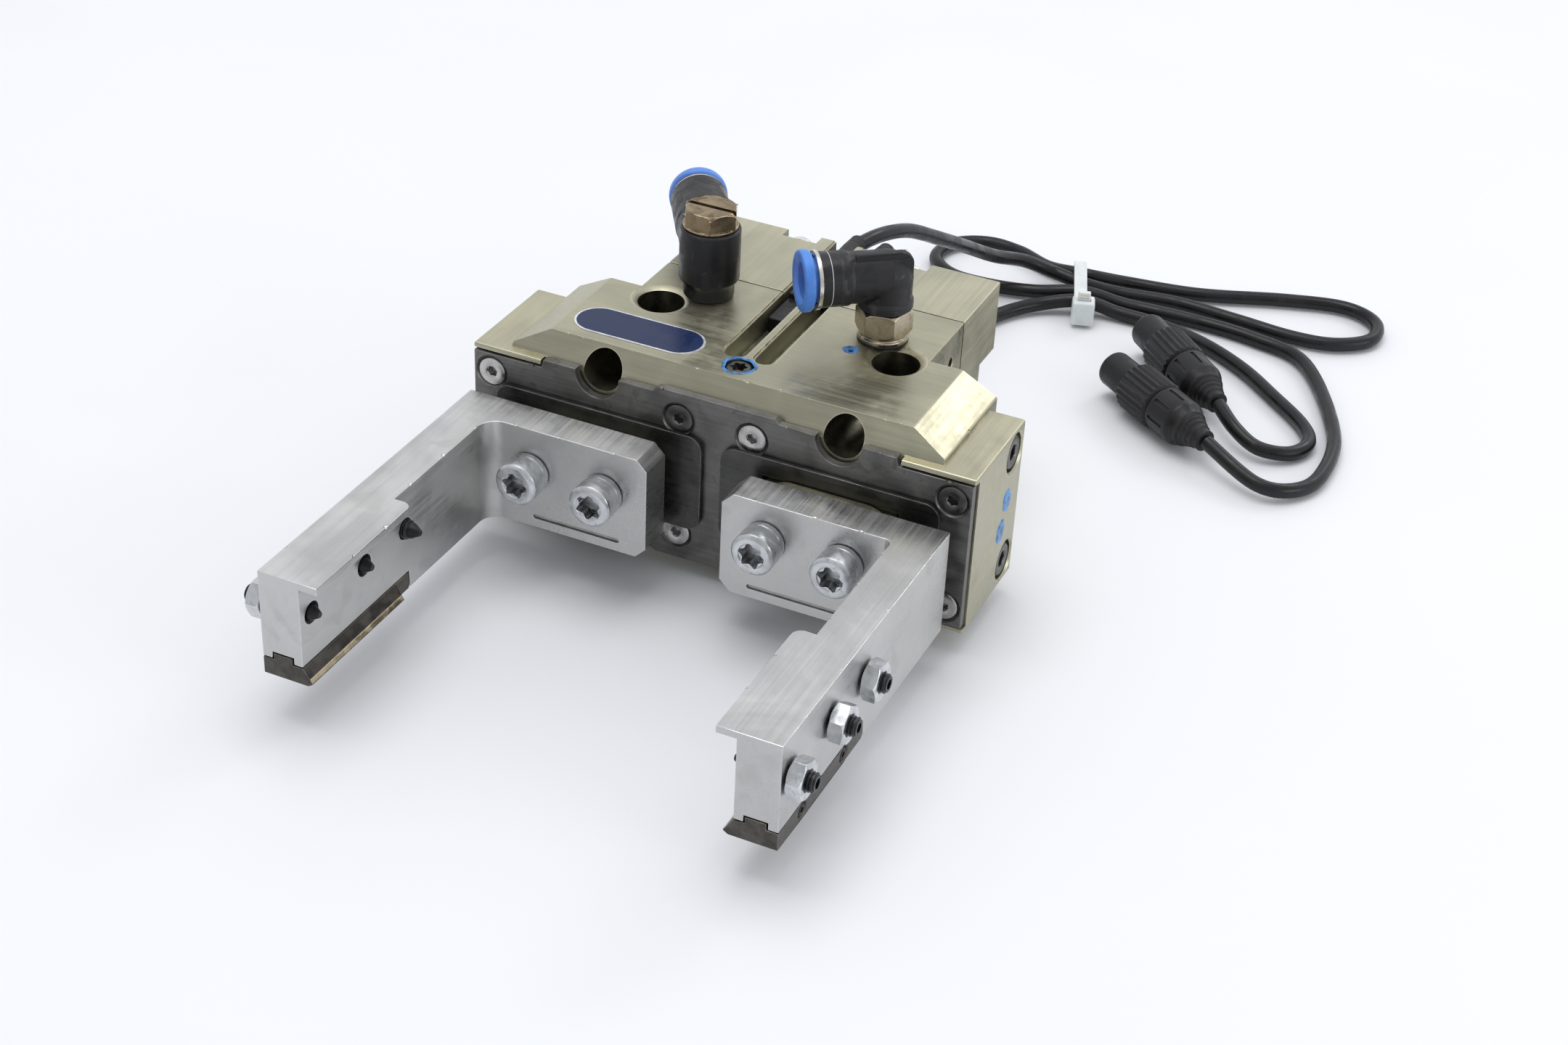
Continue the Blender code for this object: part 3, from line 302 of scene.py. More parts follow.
TOOL = look("tool_steel", (0.105, 0.098, 0.088), 0.9, 0.4, vary=(0.25, 0.4),
    brush=(Y_LINES, 0.25, 0.5), grain=(5, 0.4), wear=((0.55, 0.5, 0.4), 0.2),
    corner_shade=((0.02, 0.016, 0.012), 0.8), stain=((0.16, 0.1, 0.05), 0.4, 0.6, 0.6))
GROUND = look("ground_strip", (0.66, 0.56, 0.38), 0.95, 0.27, vary=(0.15, 0.5),
    brush=(Y_LINES, 0.2, 0.4))
ZINC = look("zinc_plate", (0.6, 0.62, 0.635), 0.97, 0.29, vary=(0.14, 0.45), grain=(3, 0.7),
    wear=((0.82, 0.84, 0.86), 0.18), corner_shade=((0.06, 0.055, 0.05), 1.5, 0.95),
    stain=((0.3, 0.31, 0.32), 0.5, 0.58, 0.5))
STEEL = look("screw_steel", (0.5, 0.49, 0.48), 0.97, 0.3, vary=(0.2, 0.5), grain=(5, 0.5),
    wear=((0.8, 0.79, 0.77), 0.15), corner_shade=((0.03, 0.027, 0.024), 0.8, 0.95))
DULL_STEEL = look("screw_dull", (0.115, 0.11, 0.108), 0.9, 0.42, vary=(0.3, 0.5), grain=(5, 0.7),
    wear=((0.42, 0.41, 0.4), 0.15), corner_shade=((0.02, 0.018, 0.016), 0.8, 0.9))
BLACK_OXIDE = look("black_oxide", (0.022, 0.022, 0.024), 0.7, 0.38, vary=(0.2, 0.6),
    grain=(5, 0.5), wear=((0.2, 0.2, 0.21), 0.12))
NICKEL = look("nickel_brass", (0.47, 0.41, 0.31), 0.97, 0.27, vary=(0.22, 0.25), grain=(5, 0.4),
    wear=((0.85, 0.79, 0.66), 0.25), corner_shade=((0.07, 0.05, 0.03), 1, 0.8),
    stain=((0.24, 0.16, 0.08), 0.35, 0.56, 0.55))
COLLAR = look("bright_collar", (0.72, 0.69, 0.62), 0.98, 0.2, vary=(0.08, 0.5), grain=(5, 0.15))
BRONZE = look("bronze_bolt", (0.27, 0.205, 0.125), 0.95, 0.34, vary=(0.28, 0.3), grain=(2.5, 0.8),
    wear=((0.62, 0.52, 0.36), 0.25), corner_shade=((0.03, 0.022, 0.014), 1),
    stain=((0.12, 0.085, 0.05), 0.4, 0.55, 0.7))
PLASTIC = look("black_plastic", (0.013, 0.013, 0.015), 0, 0.44, vary=(0.25, 0.25, 0.14),
    grain=(2.2, 0.8), wear=((0.085, 0.083, 0.08), 0.3, 0.46),
    stain=((0.075, 0.07, 0.062), 0.3, 0.6, 0.6), sockets={"Specular IOR Level": 0.38})
BLUE = look("blue_plastic", (0.06, 0.215, 0.64), 0, 0.36, vary=(0.12, 0.3), grain=(5, 0.3),
    wear=((0.2, 0.4, 0.8), 0.25), sockets={"Subsurface Weight": 0.05})
NAVY = look("navy_foil", (0.01, 0.022, 0.075), 0, 0.33, vary=(0.1, 0.3), grain=(5, 0.2),
    wear=((0.1, 0.12, 0.2), 0.12, 0.55), sockets={"Specular IOR Level": 0.28})
FOIL = look("foil_edge", (0.72, 0.74, 0.78), 0.5, 0.32, vary=(0.15, 0.8))
LACQUER = look("blue_lacquer", (0.05, 0.22, 0.52), 0, 0.3, vary=(0.35, 0.9), grain=(5, 0.6),
    stain=((0.02, 0.06, 0.14), 0.9, 0.5, 0.7))
SHEATH = look("cable_sheath", (0.011, 0.011, 0.012), 0, 0.34, vary=(0.2, 0.2, 0.1),
    grain=(3, 0.35), stain=((0.03, 0.029, 0.027), 0.25, 0.62, 0.5),
    sockets={"Specular IOR Level": 0.32})
MOULDED = look("moulded_plug", (0.012, 0.012, 0.013), 0, 0.44, vary=(0.25, 0.3, 0.12),
    grain=(2.5, 0.7), wear=((0.06, 0.058, 0.056), 0.25), sockets={"Specular IOR Level": 0.32})
NYLON = look("white_nylon", (0.78, 0.78, 0.76), 0, 0.38, vary=(0.05, 0.5), grain=(5, 0.25),
    sockets={"Subsurface Weight": 0.15})
GASKET = look("gasket_rubber", (0.012, 0.012, 0.012), 0, 0.6, vary=(0.2, 0.5), grain=(5, 0.4))
GILT = look("gilt_contact", (0.8, 0.6, 0.26), 1, 0.25, vary=(0.1, 1))
PALE_SCREW = look("pale_screw", (0.74, 0.73, 0.7), 0.9, 0.28, vary=(0.12, 0.6), grain=(5, 0.4),
    corner_shade=((0.06, 0.055, 0.05), 0.6, 0.9))
PISTON_ALU = look("turned_aluminium", (0.58, 0.58, 0.58), 0.95, 0.32, brush=((5, 5, 5), 0.1, 0))
FLOOR = look("pale_floor", (0.83, 0.84, 0.865), 0, 0.55, vary=(0.008, 0.01, 0.04),
    grain=(0.6, 0.02))


# ---------------------------------------------------------------- solids
def tidy(mesh):
    bm = bmesh.new()
    bm.from_mesh(mesh)
    bmesh.ops.remove_doubles(bm, verts=bm.verts, dist=1e-6)
    bmesh.ops.recalc_face_normals(bm, faces=bm.faces)
    bm.to_mesh(mesh)
    bm.free()
    return mesh


def place(name, mesh, centre, rotation=None):
    ob = bpy.data.objects.new(name, mesh)
    WORK.objects.link(ob)
    ob.location = point(*centre)
    if rotation is not None:
        ob.rotation_euler = rotation
    ob.hide_render = True
    return ob


def from_bmesh(name, bm):
    mesh = bpy.data.meshes.new(name)
    bm.to_mesh(mesh)
    bm.free()
    return mesh


def evaluated(ob):
    bpy.context.view_layer.update()
    return bpy.data.meshes.new_from_object(ob.evaluated_get(bpy.context.evaluated_depsgraph_get()))


def bake(ob):
    """Applies every modifier and keeps the transform."""
    mesh = evaluated(ob)
    ob.modifiers.clear()
    ob.data = tidy(mesh)
    return ob


def soften(ob, width, segments=2, angle=30, clamp=True):
    mod = ob.modifiers.new("bevel", 'BEVEL')
    mod.width = width * MM
    mod.segments = segments
    mod.limit_method = 'ANGLE'
    mod.angle_limit = radians(angle)
    mod.use_clamp_overlap = clamp
    return ob


def box(x0, x1, y0, y1, z0, z1, bevel=0, segments=2, turn=0):
    bm = bmesh.new()
    bmesh.ops.create_cube(bm, size=1)
    size = Vector((abs(x1 - x0), abs(y1 - y0), abs(z1 - z0))) * MM
    bmesh.ops.scale(bm, vec=size, verts=bm.verts)
    centre = ((x0 + x1) / 2, (y0 + y1) / 2, (z0 + z1) / 2)
    ob = place("block", from_bmesh("block", bm), centre, (0, 0, turn))
    return eased(ob, bevel, segments) if bevel > 0 else ob


AXES = {'X': (0, pi / 2, 0), 'Y': (-pi / 2, 0, 0), 'Z': (0, 0, 0), '-X': (0, -pi / 2, 0),
    '-Y': (pi / 2, 0, 0)}


def turn_of(axis):
    return AXES[axis] if isinstance(axis, str) else axis


def along(angle):
    """Rotation that lays local Z in the horizontal plane at the given heading."""
    return (0, pi / 2, angle)


def rod(centre, radius, length, axis='Z', sides=40, spin=0):
    if sides > 6:
        sides = max(12, 2 * round(sides * FACETS / 2))
    bm = bmesh.new()
    bmesh.ops.create_cone(bm, cap_ends=True, segments=sides, radius1=radius * MM,
        radius2=radius * MM, depth=length * MM)
    bmesh.ops.rotate(bm, verts=bm.verts, cent=(0, 0, 0), matrix=Matrix.Rotation(spin, 3, 'Z'))
    return place("rod", from_bmesh("rod", bm), centre, turn_of(axis))


def hexagon(centre, across, length, axis='Z', spin=0):
    return rod(centre, across / sqrt(3), length, axis, 6, spin)


def point_curve(name, dimensions, points):
    curve = bpy.data.curves.new(name, 'CURVE')
    curve.dimensions = dimensions
    spline = curve.splines.new('POLY')
    spline.points.add(len(points) - 1)
    for index, spot in enumerate(points):
        spline.points[index].co = (*spot, 1)
    return curve, spline


def prism(outline, lo, hi, plane, centre=(0, 0, 0), rotation=None):
    """Flat outline extruded from lo to hi. plane XY, XZ or YZ."""
    curve, spline = point_curve("outline", '2D', [(a * MM, b * MM, 0) for a, b in outline])
    curve.fill_mode = 'BOTH'
    curve.extrude = abs(hi - lo) / 2 * MM
    spline.use_cyclic_u = True
    temp = bpy.data.objects.new("outline", curve)
    WORK.objects.link(temp)
    mesh = evaluated(temp)
    bpy.data.objects.remove(temp, do_unlink=True)
    mid = (lo + hi) / 2 * MM
    if plane == 'XY':
        turn, shift = Matrix.Identity(4), Vector((0, 0, mid))
    elif plane == 'XZ':
        turn, shift = Matrix.Rotation(pi / 2, 4, 'X'), Vector((0, mid, 0))
    else:
        turn = Matrix(((0, 0, 1, 0), (1, 0, 0, 0), (0, 1, 0, 0), (0, 0, 0, 1)))
        shift = Vector((mid, 0, 0))
    mesh.transform(Matrix.Translation(shift) @ turn)
    tidy(mesh)
    return place("prism", mesh, centre, rotation)


def turned(profile, centre, axis='Z', steps=40, closed=False):
    """Solid of revolution from (radius, height) pairs running from the top down the outside."""
    steps = max(16, 2 * round(steps * FACETS / 2))
    mesh = bpy.data.meshes.new("turned")
    edges = [(i, i + 1) for i in range(len(profile) - 1)]
    if closed:
        edges.append((len(profile) - 1, 0))
    mesh.from_pydata([(r * MM, 0, h * MM) for r, h in profile], edges, [])
    ob = place("turned", mesh, centre, turn_of(axis))
    mod = ob.modifiers.new("screw", 'SCREW')
    mod.axis = 'Z'
    mod.steps = steps
    mod.render_steps = steps
    mod.use_merge_vertices = True
    mod.merge_threshold = 0.00001
    mod.use_normal_calculate = True
    return bake(ob)


def boolean(ob, other, operation):
    mod = ob.modifiers.new(operation.lower(), 'BOOLEAN')
    mod.operation = operation
    mod.solver = 'MANIFOLD'
    mod.object = other


def cut(ob, other):
    boolean(ob, other, 'DIFFERENCE')


def join(ob, other):
    boolean(ob, other, 'UNION')


def drill(ob, profile, centre, axis='Z', steps=28, closed=False):
    """Cuts a turned shape out of a solid."""
    cut(ob, turned(profile, centre, axis, steps, closed))


def eased(ob, width, segments=2, angle=30):
    """Rounds the edges and applies every modifier."""
    return bake(soften(ob, width, segments, angle))


def placed_like(tool, matrix, like):
    """Puts a cutting tool at a spot given in another solid's own frame."""
    tool.data.transform(matrix)
    tool.matrix_world = like.matrix_world.copy()
    return tool


def uneven(ob, waves):
    """Swells a turned solid by different amounts around its axis."""
    for v in ob.data.vertices:
        angle = atan2(v.co.y, v.co.x)
        v.co *= 1 + sum(size * sin(count * angle + shift) for size, count, shift in waves)


def mirrored(side, outline):
    return [(side * a, b) for a, b in outline]


def hole(wide, narrow, depth, above=1, rim=0.1, cone=0.3):
    """Profile of a blind hole whose mouth flares from narrow to wide."""
    return [(0, above), (wide, above), (wide, rim), (narrow, -cone), (narrow, -depth), (0, -depth)]


def ring_section(radius, wide, high):
    """Oval section of a ring, as (radius, height) pairs."""
    turns = [2 * pi * k / 12 for k in range(12)]
    return [(radius + wide * cos(a), high * sin(a)) for a in turns]


def arc(cx, cy, r, a0, a1, count):
    out = []
    for index in range(count + 1):
        a = radians(a0 + (a1 - a0) * index / count)
        out.append((cx + r * cos(a), cy + r * sin(a)))
    return out


def stadium(x0, x1, z0, z1, radius, count=12):
    return (arc(x1 - radius, z0 + radius, radius, -90, 0, count)
        + arc(x1 - radius, z1 - radius, radius, 0, 90, count)
        + arc(x0 + radius, z1 - radius, radius, 90, 180, count)
        + arc(x0 + radius, z0 + radius, radius, 180, 270, count))


def waved(radius, base, swing, waves, count, spin=0):
    """Round outline whose radius swings the given number of times."""
    out = []
    for index in range(count):
        a = 2 * pi * index / count
        r = radius * (base + swing * cos(waves * a))
        out.append((r * cos(a + spin), r * sin(a + spin)))
    return out


def lobed(radius, depth, centre, axis, spin=0):
    """Six-lobed drive recess."""
    outline = waved(radius, 0.87, 0.13, 6, 48, spin)
    return prism(outline, -depth / 2, depth / 2, 'XY', centre, turn_of(axis))


def heading(centre, distance, angle, z):
    return (centre[0] + distance * cos(angle), centre[1] + distance * sin(angle), z)


def drill_level(ob, start, distance, angle, z, radius, length, sides):
    """Cuts a round hole that lies level at the given heading."""
    cut(ob, rod(heading(start, distance, angle, z), radius, length, along(angle), sides))


def rounded(corners, radius, count=4):
    """Outline with every corner turned into a small arc."""
    out = []
    size = len(corners)
    for i in range(size):
        here = Vector(corners[i])
        before = Vector(corners[i - 1]) - here
        after = Vector(corners[(i + 1) % size]) - here
        reach = min(radius, before.length * 0.45, after.length * 0.45)
        start = here + before.normalized() * reach
        end = here + after.normalized() * reach
        for k in range(count + 1):
            t = k / count
            spot = start * (1 - t) ** 2 + here * 2 * t * (1 - t) + end * t * t
            out.append((spot.x, spot.y))
    return out


def done(ob, name, finish, nodes=(), edge=0, segments=2, clamp=True, body="gripper_body"):
    """Bakes a piece in the row frame, rounds its edges and hangs it on its body."""
    bake(ob)
    ob.data.transform(ob.matrix_world)
    ob.matrix_world = Matrix.Identity(4)
    if edge > 0:
        soften(ob, edge, segments, 30, clamp)
        bake(ob)
    mesh = ob.data
    for poly in mesh.polygons:
        poly.use_smooth = True
        poly.material_index = 0
    mesh.set_sharp_from_angle(angle=radians(SMOOTH_ANGLE))
    mesh.materials.clear()
    mesh.materials.append(finish)
    ob.name = name
    mesh.name = name
    even = ob.modifiers.new("even_normals", 'WEIGHTED_NORMAL')
    even.keep_sharp = True
    WORK.objects.unlink(ob)
    PIECES.objects.link(ob)
    ob.hide_render = False
    if nodes:
        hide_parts(*nodes)
    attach(ob, body)
    for old in list(WORK.objects):
        bpy.data.objects.remove(old, do_unlink=True)
    return ob


# ---------------------------------------------------------------- camera, light, floor
CAMERA_TURN = (23.32, 32.81, 3.1)       # azimuth, elevation and roll in degrees
CAMERA_AT = (0.14461, -0.30313, 0.23023)
CAMERA_LENS = 59.56
ROOM_TINT = (0.95, 0.965, 1, 1)
ROOM_DEPTH = (("From Min", -0.8), ("From Max", 0.7), ("To Min", 0.6), ("To Max", 0.93))
LAMPS = (                               # name, place, aim, size, power in watts
    ("key", (-0.12, 0.05, 0.85), (0, 0, 0), (0.6, 0.5), 2.7),
    ("right_back", (0.24, 0.72, 0.55), (0, 0, 0.02), (0.3, 0.22), 0.75),
    ("right_side", (0.85, -0.1, 0.3), (0, 0, 0.02), (0.5, 0.3), 1.3))


def build_stage():
    azimuth, elevation, roll = (radians(a) for a in CAMERA_TURN)
    level = cos(elevation)
    forward = Vector((-sin(azimuth) * level, cos(azimuth) * level, -sin(elevation)))
    right = Vector((cos(azimuth), sin(azimuth), 0))
    up = right.cross(forward)
    side = right * cos(roll) + up * sin(roll)
    top = up * cos(roll) - right * sin(roll)
    camera = bpy.data.cameras.new("camera")
    camera.lens = CAMERA_LENS
    camera.sensor_width = 36
    camera.clip_start = 0.01
    camera.clip_end = 20
    eye = bpy.data.objects.new("camera", camera)
    SCENE.collection.objects.link(eye)
    frame_axes = Matrix((side, top, -forward)).transposed().to_4x4()
    eye.matrix_world = Matrix.Translation(CAMERA_AT) @ frame_axes
    SCENE.camera = eye

    world = bpy.data.worlds.new("soft_room")
    world.use_nodes = True
    sky = world.node_tree.nodes["Background"]
    tree = world.node_tree
    direction = tree.nodes.new("ShaderNodeTexCoord").outputs["Generated"]
    split = tree.nodes.new("ShaderNodeSeparateXYZ")
    tree.links.new(direction, split.inputs["Vector"])
    depth = tree.nodes.new("ShaderNodeMapRange")
    depth.interpolation_type = 'SMOOTHSTEP'
    tree.links.new(split.outputs["Y"], depth.inputs["Value"])
    for key, value in ROOM_DEPTH:
        depth.inputs[key].default_value = value
    tree.links.new(depth.outputs["Result"], sky.inputs["Strength"])
    sky.inputs["Color"].default_value = ROOM_TINT
    SCENE.world = world
    for name, spot, target, size, power in LAMPS:
        lamp = bpy.data.lights.new(name, 'AREA')
        lamp.shape = 'RECTANGLE'
        lamp.size, lamp.size_y = size
        lamp.energy = power
        ob = bpy.data.objects.new(name, lamp)
        ob.location = spot
        ob.rotation_euler = (Vector(target) - Vector(spot)).to_track_quat('-Z', 'Y').to_euler()
        SCENE.collection.objects.link(ob)
    bm = bmesh.new()
    bmesh.ops.create_grid(bm, x_segments=4, y_segments=4, size=3)
    floor = bpy.data.objects.new("floor", from_bmesh("floor", bm))
    floor.location = (0, 0, -0.0001)
    floor.data.materials.append(FLOOR)
    SCENE.collection.objects.link(floor)
    SCENE.view_settings.view_transform = 'Standard'


build_stage()


# ---------------------------------------------------------------- housing
def slot_cutter(x0, x1):
    half = (x1 - x0) / 2
    mid = (x0 + x1) / 2
    outline = arc(mid, SLOT_END_Y + half, half, 180, 360, 16) + [(x1, 60), (x0, 60)]
    return prism(outline, SLOT_FLOOR, 37, 'XY')


def slot_relief(x0, x1):
    """Small chamfer along a slot's top edges."""
    half = (x1 - x0) / 2 + 0.35
    mid = (x0 + x1) / 2
    outline = arc(mid, SLOT_END_Y + half - 0.35, half, 180, 360, 16)
    outline += [(mid + half, 60), (mid - half, 60)]
    return prism(outline, 34.7, 37, 'XY')


def chipped(ob, spots, size):
    """Takes small nicks out of an edge at the given places."""
    bm = bmesh.new()
    for spot in spots:
        r = size * rng.uniform(0.5, 1.2)
        made = bmesh.ops.create_icosphere(bm, subdivisions=2, radius=r * MM)
        stretch = Vector((rng.uniform(0.8, 2.2), rng.uniform(0.7, 1.3), rng.uniform(0.6, 1.1)))
        bmesh.ops.scale(bm, vec=stretch, verts=made["verts"])
        bmesh.ops.translate(bm, vec=point(*spot), verts=made["verts"])
    nicks = place("nicks", from_bmesh("nicks", bm), (0, -Y_DATUM, 0))
    cut(ob, nicks)


def build_housing():
    outline = [(-BODY_HALF, 0), (BODY_HALF, 0), (CHAMFER_HALF, 3.1), (CHAMFER_HALF, 31.9),
        (BODY_HALF, BODY_TOP), (-BODY_HALF, BODY_TOP), (-CHAMFER_HALF, 31.9), (-CHAMFER_HALF, 3.1)]
    housing = prism(rounded(outline, 0.35, 3), 3.3, 25.6, 'XZ')
    slope = [(2.4, 28.4), (7.2, 37.2), (2.4, 37.2)]
    cut(housing, prism(slope, -38, 38, 'YZ'))
    cut(housing, prism([(y, BODY_TOP - z) for y, z in reversed(slope)], -38, 38, 'YZ'))
    bake(housing)
    eased(housing, 0.28, 2, 25)
    for side in (-1, 1):
        join(housing, box(side * 30, side * WING_HALF, 2.2, 22.7, 3.8, 31.2, 0.35, 3))
    narrow = [(-NARROW_HALF, 25), (NARROW_HALF, 25), (NARROW_HALF, SEAM_STEP_Y - 0.1),
        (SEAM_STEP_X + 0.1, SEAM_STEP_Y - 0.1), (SEAM_STEP_X + 0.1, SEAM_Y - 0.1),
        (-NARROW_HALF, SEAM_Y - 0.1)]
    join(housing, eased(prism(narrow, 0, BODY_TOP, 'XY'), 0.22))
    bake(housing)
    seat = [(-30.5, 3), (30.5, 3), (30.5, 4.55), (43, 4.55), (43, 30.45), (30.5, 30.45)]
    seat += [(30.5, 32), (-30.5, 32), (-30.5, 30.45), (-43, 30.45), (-43, 4.55), (-30.5, 4.55)]
    cut(housing, prism(seat, 1, 3.6, 'XZ'))
    cut(housing, box(-39.3, 39.3, 3, 14.2, 10, 25))
    cut(housing, box(-12, 12, 14, 21.8, 11, 24))
    cut(housing, rod((0, 23.5, MID_Z), 4, 5, 'Y'))
    cut(housing, rod((0, 23.55, MID_Z), 5.5, 1.9, 'Y'))
    cut(housing, rod((0, 31, MID_Z), BORE_R, 12, 'Y', 56))
    bake(housing)
    thru = [(0, 36.2), (5.4, 36.2), (5.4, 35.25), (3.8, 34.35), (3.8, 0.65), (5.4, -0.25),
        (5.4, -1.2), (0, -1.2)]
    for side in (-1, 1):
        drill(housing, thru, (side * THROUGH_HOLE[0], THROUGH_HOLE[1], 0), 'Z', 56)
        for z in FRONT_HOLE_Z:
            cut(housing, rod((side * THROUGH_HOLE[0], 12.4, z), 3.25, 22, 'Y', 52))
    bake(housing)
    for x0, x1 in SLOTS:
        cut(housing, slot_cutter(x0, x1))
        cut(housing, slot_relief(x0, x1))
    for px, py in (PORT_A, PORT_B):
        cut(housing, rod((px, py, 27.5), 2.5, 17, 'Z', 28))
    bake(housing)
    for side in (-1, 1):
        for x, z in COVER_SCREWS:
            cut(housing, rod((side * x, 6.5, z), 1.5, 7.4, 'Y', 20))
        for z in END_SCREW_Z:
            drill(housing, [(0, 1.2), (3.6, 1.2), (3.6, 0.05), (3.25, -0.3), (3.25, -3.2),
                    (1.8, -3.2), (1.8, -9.5), (0, -9.5)], (side * WING_HALF, END_SCREW_Y, z),
                OUTWARD[side], 36)
        for y, z in END_PLUGS:
            drill(housing, hole(1.3, 1.1, 2.6, 1, 0.05, 0.2), (side * WING_HALF, y, z),
                OUTWARD[side], 24)
    bake(housing)
    drill(housing, hole(2.85, 2.45, 3, 1.5), (0, SEAL_PLUG_Y, BODY_TOP), 'Z', 40)
    drill(housing, hole(1.45, 1.2, 2.9, 1.5, 0.1, 0.2), (*SMALL_PLUG, BODY_TOP))
    drill(housing, hole(1.2, 1, 1.5, 1, 0.1, 0.15), (NARROW_HALF, 35.2, 29.9), 'X', 24)
    for side in (-1, 1):
        for z in (32.2, 2.8):
            cut(housing, rod((side * 10, 33.4, z), 1.8, 5.4, 'Y', 20))
    bake(housing)
    spots = [(x, 6.05, 35) for x in (-27.6, -24.9, -12.4, -5.2, 3.3, 8.9, 13.6, 26.1, 28.8)]
    spots += [(36.6, 14, 31.9), (-36.6, 9, 31.9), (42.5, 9.5, 31.2), (-42.5, 14, 31.2)]
    chipped(housing, spots, 0.3)
    shell = done(housing, "housing_shell", ANODISED, ["housing"])
    shell.data.materials.append(BORE_SHADE)
    shell.data.materials.append(ANODISED_SHEEN)
    for poly in shell.data.polygons:
        x, y, z = poly.center.x / MM, poly.center.y / MM - Y_DATUM, poly.center.z / MM
        aside = abs(x) - THROUGH_HOLE[0]
        upright = hypot(aside, y - THROUGH_HOLE[1]) < 4 and 1 < z < 34.3
        front = min(hypot(aside, z - level) for level in FRONT_HOLE_Z) < 3.4
        # Faces inside the upright and front holes get the painted bore shade.
        if upright or (front and y > 3.4):
            poly.material_index = 1
        # Chamfer and wing-top faces get the lighter copy: painted sheen.
        elif abs(x) > BODY_HALF - 0.1 and 0.3 < abs(poly.normal.z) and z > 25:
            poly.material_index = 2


def build_spring_housing():
    rear = box(-NARROW_HALF, NARROW_HALF, SEAM_Y + 0.12, REAR_Y, 0, BODY_TOP, 0.3, 2)
    cut(rear, box(SEAM_STEP_X - 0.12, 27, 34, SEAM_STEP_Y + 0.12, -1, 36))
    for x0, x1 in SLOTS:
        cut(rear, slot_cutter(x0, x1))
        cut(rear, slot_relief(x0, x1))
    cut(rear, rod((0, 37, MID_Z), BORE_R, 5, 'Y', 56))
    cut(rear, rod((0, 45.5, MID_Z), SPRING_R, 14, 'Y', 48))
    bake(rear)
    for side in (-1, 1):
        for flip in (False, True):
            half = [(side * 10 - 3.1, 36.5)] + arc(side * 10, 32, 3.1, 180, 360, 16)
            half.append((side * 10 + 3.1, 36.5))
            if flip:
                half = [(x, BODY_TOP - z) for x, z in reversed(half)]
            cut(rear, prism(half, 53.5, 57.5, 'XZ'))
            cut(rear, rod((side * 10, 45, 2.8 if flip else 32.2), 1.8, 20, 'Y', 20))
        for z in (7, 28):
            drill(rear, hole(2.5, 2.1, 7.2), (side * 18, REAR_Y, z), 'Y')
    cut(rear, box(21.5, 27, 49.5, 57.5, -1, 22.7))
    done(rear, "spring_housing_shell", ANODISED_REAR, ["spring_housing"])


build_housing()
build_spring_housing()


# ---------------------------------------------------------------- plate, plugs, fixed screws
def build_plate():
    edge_top = [(-42.2, 30.15), (-30.2, 30.15), (-29.8, 31.6)]
    edge_top += arc(-20.4, 31.2, 3.75, 173.88, 366.12, 18)
    edge_top += [(-10.6, 31.6), (-9.8, 32.4)]
    outline = edge_top + [(-x, z) for x, z in reversed(edge_top)]
    outline = outline + [(x, BODY_TOP - z) for x, z in reversed(outline)]
    plate = prism(outline, PLATE_FRONT, PLATE_BACK, 'XZ')
    for side in (-1, 1):
        opening = mirrored(side, stadium(8.7, 37.3, 12.2, 22.8, 1.5, 6))
        cut(plate, prism(opening, 1, 4.2, 'XZ'))
        for x, z in COVER_SCREWS:
            drill(plate, hole(2.75, 1.55, 2, 1.6, 0.58, 0.55), (side * x, 2.45, z), '-Y', 36)
    bake(plate)
    chipped(plate, [(x, PLATE_FRONT, z) for x, z in ((-9.2, 32.4), (3.1, 32.4), (11.8, 31.6),
                (27.1, 31.6), (-31.9, 30.1), (38.4, 30.1))], 0.22)
    done(plate, "front_plate", PLATE, ["front_cover_plate"], 0.14, 2, False)


